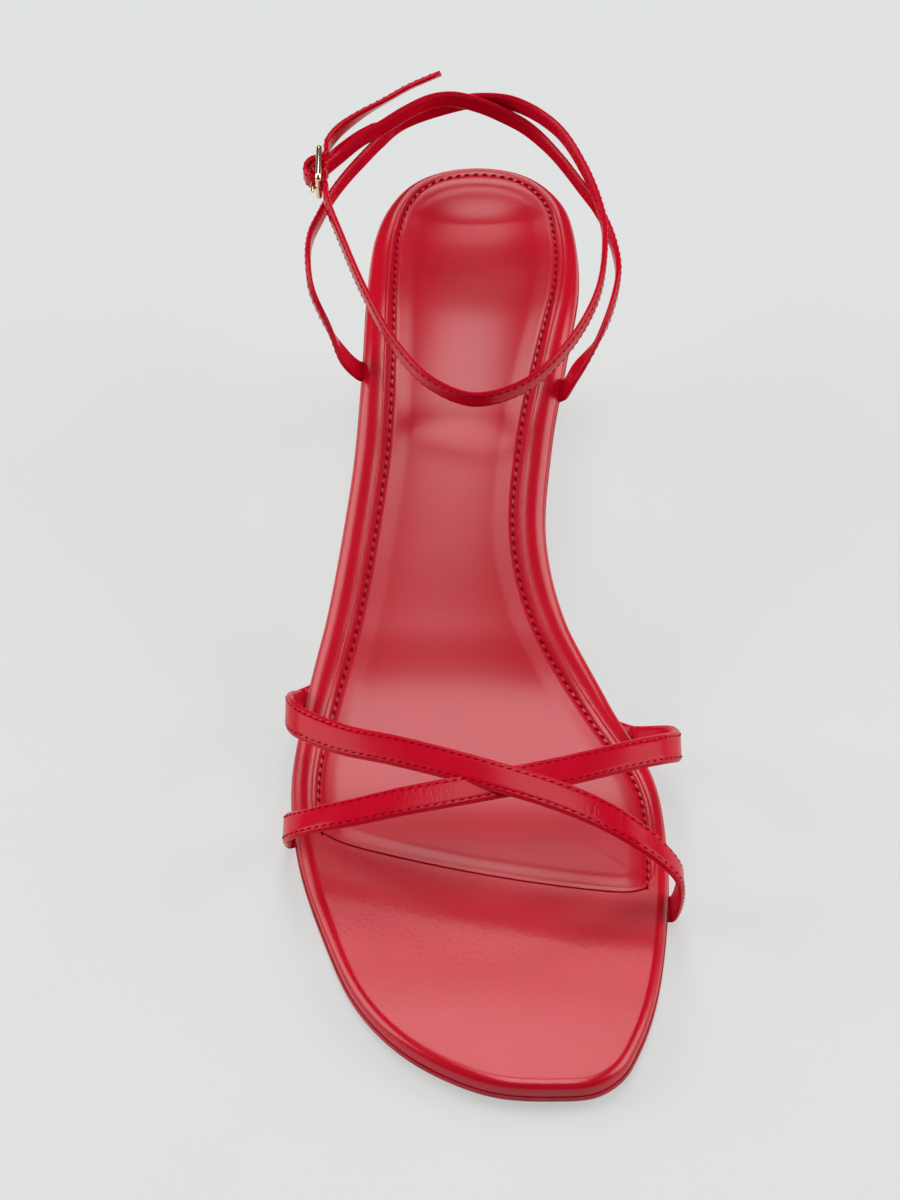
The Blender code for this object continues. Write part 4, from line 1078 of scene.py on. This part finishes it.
TAIL_ROWS = [
    # across, forward, lift: from the buckle to the free tip
    (-0.90, 0.130, 0.90),
    (-0.75, 0.072, 0.94),
    (-0.555, 0.013, 0.98),
    (-0.385, -0.037, 1.01),
    (-0.230, -0.069, 1.04),
]
MEDIAL_RISE_ROWS = [
    # across, forward, lift: from the big-toe side of the seat, up and round the back, to the buckle
    (0.80, 0.735, -0.32),
    (0.95, 0.695, -0.04),
    (1.05, 0.620, 0.16),
    (1.10, 0.526, 0.28),
    (1.082, 0.444, 0.34),
    (1.033, 0.370, 0.40),
    (0.952, 0.294, 0.46),
    (0.851, 0.231, 0.52),
    (0.733, 0.154, 0.58),
    (0.597, 0.080, 0.64),
    (0.457, 0.037, 0.72),
    (0.300, 0.018, 0.81),
    (0.170, 0.017, 0.90),
    (0.010, 0.022, 0.99),
    (-0.10, 0.029, 1.03),
    (-0.24, 0.047, 1.04),
    (-0.41, 0.086, 1.01),
    (-0.58, 0.130, 0.95),
    (-0.74, 0.170, 0.90),
]
FOLD_ROWS = [
    # across, forward, lift: places on the inner strand that its folded end lies on
    (-0.74, 0.170, 0.90),
    (-0.64, 0.145, 0.925),
]
FOLD_STEP = 0.0010
SKIVE = 0.0003
BUCKLE_PLACE = (-1.025, 0.267, 0.78)
ANKLE_ENDS = ((0.742, 0.0), (0.720, -0.15))
TAIL_LENGTH = 0.036
TAIL_LEAN = math.radians(50)
BUCKLE_WIRE = 0.0014
BUCKLE_BAR = 0.0011
BUCKLE_SIDE_ROOM = 0.0005
BUCKLE_CORNER = 0.0012
REACHED_ROWS = ((1.70, -1.90), (0.55, -0.95), (-0.10, -1.00))
ANKLE_THREAD = 0.00030
ANKLE_SLOT_REACH = 0.0150


def ankle_point(across, forward, lift):
    return last.home + np.array([
        -ANKLE_SHIFT + across * ANKLE_WIDTH / 2,
        -ANKLE_BACK - forward * ANKLE_LENGTH,
        last.seat + lift * ANKLE_RISE,
    ])


class BuckleFrame:
    """Axes of the buckle: along the strap to the rear, up, and out to the little-toe side."""

    def __init__(self):
        self.centre = ankle_point(*BUCKLE_PLACE)
        tilt = math.atan2((1 - LOOP_FRONT_LIFT) * ANKLE_RISE, ANKLE_LENGTH)
        self.along = np.array([0.0, math.cos(tilt), math.sin(tilt)])
        self.up = np.array([0.0, -math.sin(tilt), math.cos(tilt)])
        self.out = np.array([-1.0, 0.0, 0.0])
        bar, strap = BUCKLE_BAR / 2, ANKLE_STRAP_THICK
        self.eye = bar + SEAM_GAP + strap / 2
        self.over = self.eye + strap + SEAM_GAP
        self.side = self.over + strap / 2 + SEAM_GAP + BUCKLE_WIRE / 2
        self.under = BUCKLE_WIRE / 2 + SEAM_GAP + strap / 2
        self.half_height = ANKLE_STRAP_WIDTH / 2 + BUCKLE_SIDE_ROOM + BUCKLE_WIRE / 2

    def at(self, along, out, up=0.0):
        return self.centre + along * self.along + out * self.out + up * self.up

    def threaded(self):
        """Strap from the front: under the front wire, out over the bar, in under the rear wire."""
        points = [self.at(-self.side - 2.2 * BUCKLE_WIRE, -self.under * 1.1)]
        for degrees in (90, 45, 0):
            turn = math.radians(degrees)
            points.append(self.at(-self.side + self.under * math.cos(turn), -self.under * math.sin(turn)))
        for degrees in (150, 120, 90, 60, 30):
            turn = math.radians(degrees)
            points.append(self.at(self.over * math.cos(turn), self.over * math.sin(turn)))
        for degrees in (0, 45, 90):
            turn = math.radians(degrees)
            points.append(self.at(self.side - self.under * math.cos(turn), -self.under * math.sin(turn)))
        points.append(self.at(self.side + 2.2 * BUCKLE_WIRE, -self.under * 1.05))
        return points

    def reached(self):
        """End of the other strand: in under the rear wire as far as the bar."""
        low = self.under + ANKLE_STRAP_THICK + SEAM_GAP
        points = [self.at(self.side, -low - 1.3 * ANKLE_STRAP_THICK)]
        return points + [self.at(along * self.eye, out * self.eye) for along, out in REACHED_ROWS]

    def folded(self):
        """The same strand's skived end: round the bar and back out under the rear wire."""
        points = [self.at(0.7 * self.eye, -1.1 * self.eye)]
        for degrees in (-90, -130, -180, -230, -270, -300):
            turn = math.radians(degrees)
            points.append(self.at(self.eye * math.cos(turn), self.eye * math.sin(turn)))
        points.append(self.at(self.side * 0.38, -self.eye * 0.25))
        points.append(self.at(self.side * 0.66, -self.eye * 1.45))
        points.append(self.at(self.side, -self.under - ANKLE_STRAP_THICK - SEAM_GAP))
        return points


def round_ankle(turned=0, tail=0.0):
    """Width direction of an ankle strand: along the footbed where held, then square to the tilted loop."""
    axis = last.home + np.array([-ANKLE_SHIFT, -ANKLE_BACK - ANKLE_LENGTH / 2, last.seat])

    def across_of(line, heading):
        out = line - axis
        out = out - np.sum(out * buckle.up, axis=1, keepdims=True) * buckle.up
        upper = square_to(heading, np.cross(heading, out))
        height = np.array([last.measure(p)[1] for p in line])
        free = ease((height - 0.15 * ANKLE_RISE) / (0.4 * ANKLE_RISE))[:, None]
        across = along_sole(line, heading) * (1 - free) + upper * free
        reach = np.linalg.norm(line - buckle.centre, axis=1)
        held = 1 - ease(reach / (1.5 * ANKLE_STRAP_WIDTH) - 1)[:, None]
        up = turned or -math.copysign(1, line[0, 0] - last.home[0])
        if turned:
            across = turned * buckle.up
        if tail:
            legs = np.linalg.norm(np.diff(line, axis=0), axis=1)
            left = np.concatenate([np.cumsum(legs[::-1])[::-1], [0]])
            over = ease((tail - left) / (0.6 * tail))[:, None]
            lying = np.array([0.0, -math.sin(TAIL_LEAN), math.cos(TAIL_LEAN)])
            across = across * (1 - over) + lying * over
        return square_to(heading, across * (1 - held) + up * buckle.up * held)
    return across_of


buckle = BuckleFrame()
lateral_route = tuck_points(*ANKLE_ENDS[0], -1, ANKLE_STRAP_THICK)
lateral_route += [ankle_point(*row) for row in LATERAL_RISE_ROWS]
lateral_route += buckle.threaded()
lateral_route += [ankle_point(*row) for row in TAIL_ROWS]
medial_route = tuck_points(*ANKLE_ENDS[1], 1, ANKLE_STRAP_THICK)
medial_route += [ankle_point(*row) for row in MEDIAL_RISE_ROWS]
medial_route += buckle.reached()
fold_route = buckle.folded()
for row in FOLD_ROWS:
    middle = ankle_point(0.0, 0.5, row[2])
    place = ankle_point(*row)
    fold_route.append(place + (place - middle) / np.linalg.norm(place - middle) * FOLD_STEP)
ankle_leather = strap_leather("ankle_strap_leather")
ankle_size = (ANKLE_STRAP_WIDTH, ANKLE_STRAP_THICK, ANKLE_SEAM)
skived_size = (ANKLE_STRAP_WIDTH - SKIVE, ANKLE_STRAP_THICK - SKIVE, ANKLE_SEAM)
outer_strand = Strap(lateral_route, round_ankle(tail=TAIL_LENGTH), *ankle_size, tip=True)
inner_strand = Strap(medial_route, round_ankle(), *ankle_size)
folded_end = Strap(fold_route, round_ankle(turned=-1), *skived_size, tip=True)
ankle_parts = (
    # piece, strap, lengths left without stitches at its two ends
    ("ankle_strap_outer", outer_strand, (0.018, 0.003)),
    ("ankle_strap_inner", inner_strand, (0.018, 0.006)),
    ("ankle_strap_fold", folded_end, (0.012, 0.002)),
)
ankle_rows = []
for name, strap, bare in ankle_parts:
    piece = strap.piece(name, ankle_leather)
    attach(piece, "root")
    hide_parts("ankle_straps")
    ankle_rows += [strap.row(side, STRAP_PITCH, bare, -STITCH_SINK) for side in (1, -1)]
for name, strap, bare in ankle_parts[:2]:
    slot_cutters.append(strap.cutter(name + "_slot", SLOT_PLAY, ANKLE_SLOT_REACH))
ankle_seams = [np.concatenate(column) for column in zip(*ankle_rows)]
ankle_sizes = (STRAP_STITCH, ANKLE_THREAD, STITCH_SLANT)
ankle_stitches = stitches("ankle_stitches", *ankle_seams, *ankle_sizes, red_thread)
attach(ankle_stitches, "root")
cutting = bpy.data.collections.new("slot_cutters")
for block in slot_cutters:
    cutting.objects.link(block)
slotting = wrapped_footbed.modifiers.new("strap_slots", "BOOLEAN")
slotting.operation = "DIFFERENCE"
slotting.solver = "EXACT"
slotting.operand_type = "COLLECTION"
slotting.collection = cutting
depsgraph = bpy.context.evaluated_depsgraph_get()
slotted = bpy.data.meshes.new_from_object(wrapped_footbed.evaluated_get(depsgraph))
wrapped_footbed.modifiers.clear()
wrapped_footbed.data = slotted
for block in slot_cutters:
    bpy.data.objects.remove(block, do_unlink=True)

# Buckle: a small cast frame with a centre bar and a thin prong hooked on it, polished and plated pale
# gold. The outer strap runs under the frame and over the bar, and the prong's tip lies on the front of
# the frame.
PRONG_WIRE = 0.0009
PRONG_OVER = 0.0011


def gold_plate():
    material, tree, shader, place = bare_material("pale_gold_plate", 0.16, metallic=1.0)
    mottle(tree, place, shader, (0.95, 0.84, 0.60), (0.90, 0.76, 0.50), 0.003)
    polish = grain(tree, place, 0.0005, 0.00001, 0.3)
    tree.links.new(polish, shader.inputs["Normal"])
    return material


def wire(name, points, diameter, cyclic, material):
    """Round wire with closed ends, as a welded mesh."""
    curve = bpy.data.curves.new(name, "CURVE")
    curve.dimensions = "3D"
    curve.bevel_depth = diameter / 2
    curve.bevel_resolution = 6
    curve.use_fill_caps = not cyclic
    spline = curve.splines.new("POLY")
    spline.points.add(len(points) - 1)
    for knot, point in zip(spline.points, points):
        knot.co = (*point, 1.0)
    spline.use_cyclic_u = cyclic
    holder = bpy.data.objects.new(name + "_line", curve)
    bpy.context.scene.collection.objects.link(holder)
    mesh = bpy.data.meshes.new_from_object(holder.evaluated_get(bpy.context.evaluated_depsgraph_get()))
    bpy.data.objects.remove(holder, do_unlink=True)
    vertices = [v.co[:] for v in mesh.vertices]
    faces = [list(p.vertices) for p in mesh.polygons]
    return mesh_piece(name, vertices, faces, material)


def buckle_pieces():
    end, high, r = buckle.side, buckle.half_height, BUCKLE_CORNER
    corners = []
    for sign_a, sign_u, start in ((1, 1, 0), (-1, 1, 90), (-1, -1, 180), (1, -1, 270)):
        for degrees in range(0, 91, 10):
            turn = math.radians(start + degrees)
            along = sign_a * (end - r) + r * math.cos(turn)
            corners.append(buckle.at(along, 0.0, sign_u * (high - r) + r * math.sin(turn)))
    gold = gold_plate()
    ring = wire("buckle_ring", corners, BUCKLE_WIRE, True, gold)
    bar = wire("buckle_bar", [buckle.at(0, 0, high * k) for k in (-1, 0, 1)], BUCKLE_BAR, False, gold)
    hook = BUCKLE_BAR / 2 + SEAM_GAP + PRONG_WIRE / 2
    rest = BUCKLE_WIRE / 2 + SEAM_GAP + PRONG_WIRE / 2
    route = []
    for degrees in range(-120, 111, 12):
        turn = math.radians(degrees)
        route.append(buckle.at(hook * math.cos(turn), hook * math.sin(turn)))
    route += [buckle.at(-end * 0.6, (hook + rest) / 2 + 0.0002), buckle.at(-end, rest)]
    route += [buckle.at(-end - PRONG_OVER, rest)]
    prong = wire("buckle_tongue", list(smooth_curve(route, 60)), PRONG_WIRE, False, gold)
    return ring, bar, prong


buckle_ring, buckle_bar, buckle_tongue = buckle_pieces()
gold_parts = ((buckle_ring, "buckle_frame"), (buckle_bar, "buckle_frame"), (buckle_tongue, "buckle_prong"))
for piece, stands_for in gold_parts:
    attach(piece, "root")
    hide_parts(stands_for)

# Floor: a plain pale sheet, lit from behind like a photographer's table, so that it looks even from edge
# to edge. It carries only the shoe's faint soft shadows.
FLOOR_SIZE = 8.0
FLOOR_GLOW = 0.62
FLOOR_SEEN = (0.765, 0.788, 0.780)


def floor_sheet():
    bpy.ops.mesh.primitive_plane_add(size=FLOOR_SIZE, location=(0, 0, -0.0001))
    floor = bpy.context.active_object
    floor.name = "floor"
    material, tree, shader, place = bare_material("pale_floor", 0.9, specular=0.0)
    mottle(tree, place, shader, (0.760, 0.784, 0.776), (0.752, 0.776, 0.768), 0.02)
    glow = tree.nodes.new("ShaderNodeEmission")
    glow.inputs["Color"].default_value = (*FLOOR_SEEN, 1.0)
    path = tree.nodes.new("ShaderNodeLightPath")
    share = node(tree, "ShaderNodeMath", operation="MULTIPLY")
    share.inputs[1].default_value = FLOOR_GLOW
    tree.links.new(path.outputs["Is Camera Ray"], share.inputs[0])
    blend = tree.nodes.new("ShaderNodeMixShader")
    tree.links.new(share.outputs[0], blend.inputs["Fac"])
    tree.links.new(shader.outputs["BSDF"], blend.inputs[1])
    tree.links.new(glow.outputs["Emission"], blend.inputs[2])
    tree.links.new(blend.outputs["Shader"], tree.nodes["Material Output"].inputs["Surface"])
    floor.data.materials.append(material)
    return floor


floor_sheet()

# Light: a long soft box high overhead, a far panel behind the heel that the toe mirrors, and two low
# boxes beside the shoe for its edges. Between the first two lies a dark band, which gives the leather its
# deep red.


def soft_box(name, place, aim, width, height, radiance):
    lamp = bpy.data.lights.new(name, "AREA")
    lamp.shape = "RECTANGLE"
    lamp.size = width
    lamp.size_y = height
    lamp.energy = radiance * math.pi * width * height
    lamp.color = (1.0, 0.985, 0.975)
    holder = bpy.data.objects.new(name, lamp)
    bpy.context.scene.collection.objects.link(holder)
    holder.location = place
    holder.rotation_euler = (Vector(place) - Vector(aim)).to_track_quat("Z", "Y").to_euler()
    holder.visible_camera = False
    return holder


soft_box("overhead_box", (0.0, 0.10, 2.00), (0.0, 0.10, 0.0), 0.66, 1.66, 4.9)
soft_box("rear_panel", (0.0, 2.05, 1.98), (0.0, -0.08, 0.01), 0.90, 0.80, 4.4)
soft_box("side_box_left", (-1.05, 0.02, 0.52), (0.0, 0.0, 0.04), 0.80, 0.84, 3.5)
soft_box("side_box_right", (1.05, 0.02, 0.52), (0.0, 0.0, 0.04), 0.80, 0.84, 3.5)
world = bpy.data.worlds.new("studio_fill")
bpy.context.scene.world = world
world.use_nodes = True
air = world.node_tree
fill = air.nodes["Background"]
fill.inputs["Color"].default_value = (0.95, 1.0, 1.0, 1.0)
fill.inputs["Strength"].default_value = 0.07
wall = air.nodes.new("ShaderNodeBackground")
wall.inputs["Color"].default_value = (0.745, 0.768, 0.760, 1.0)
seen = air.nodes.new("ShaderNodeLightPath")
mix = air.nodes.new("ShaderNodeMixShader")
air.links.new(seen.outputs["Is Camera Ray"], mix.inputs["Fac"])
air.links.new(fill.outputs["Background"], mix.inputs[1])
air.links.new(wall.outputs["Background"], mix.inputs[2])
air.links.new(mix.outputs["Shader"], air.nodes["World Output"].inputs["Surface"])
bpy.context.scene.view_settings.view_transform = "Standard"

# Camera: in front of the toe and above it, 47 degrees over the floor, level with the shoe's middle line.
CAMERA_ELEVATION = math.radians(47)
CAMERA_PLACE = (-0.0060, -0.5272, 0.4744)
CAMERA_LENS = 79.32

camera_data = bpy.data.cameras.new("camera")
camera_data.lens = CAMERA_LENS
camera_data.sensor_width = 36.0
camera_data.sensor_fit = "AUTO"
camera = bpy.data.objects.new("camera", camera_data)
bpy.context.scene.collection.objects.link(camera)
camera.location = Vector(CAMERA_PLACE) + Vector(last.home)
camera.rotation_euler = (math.pi / 2 - CAMERA_ELEVATION, 0.0, 0.0)
bpy.context.scene.camera = camera
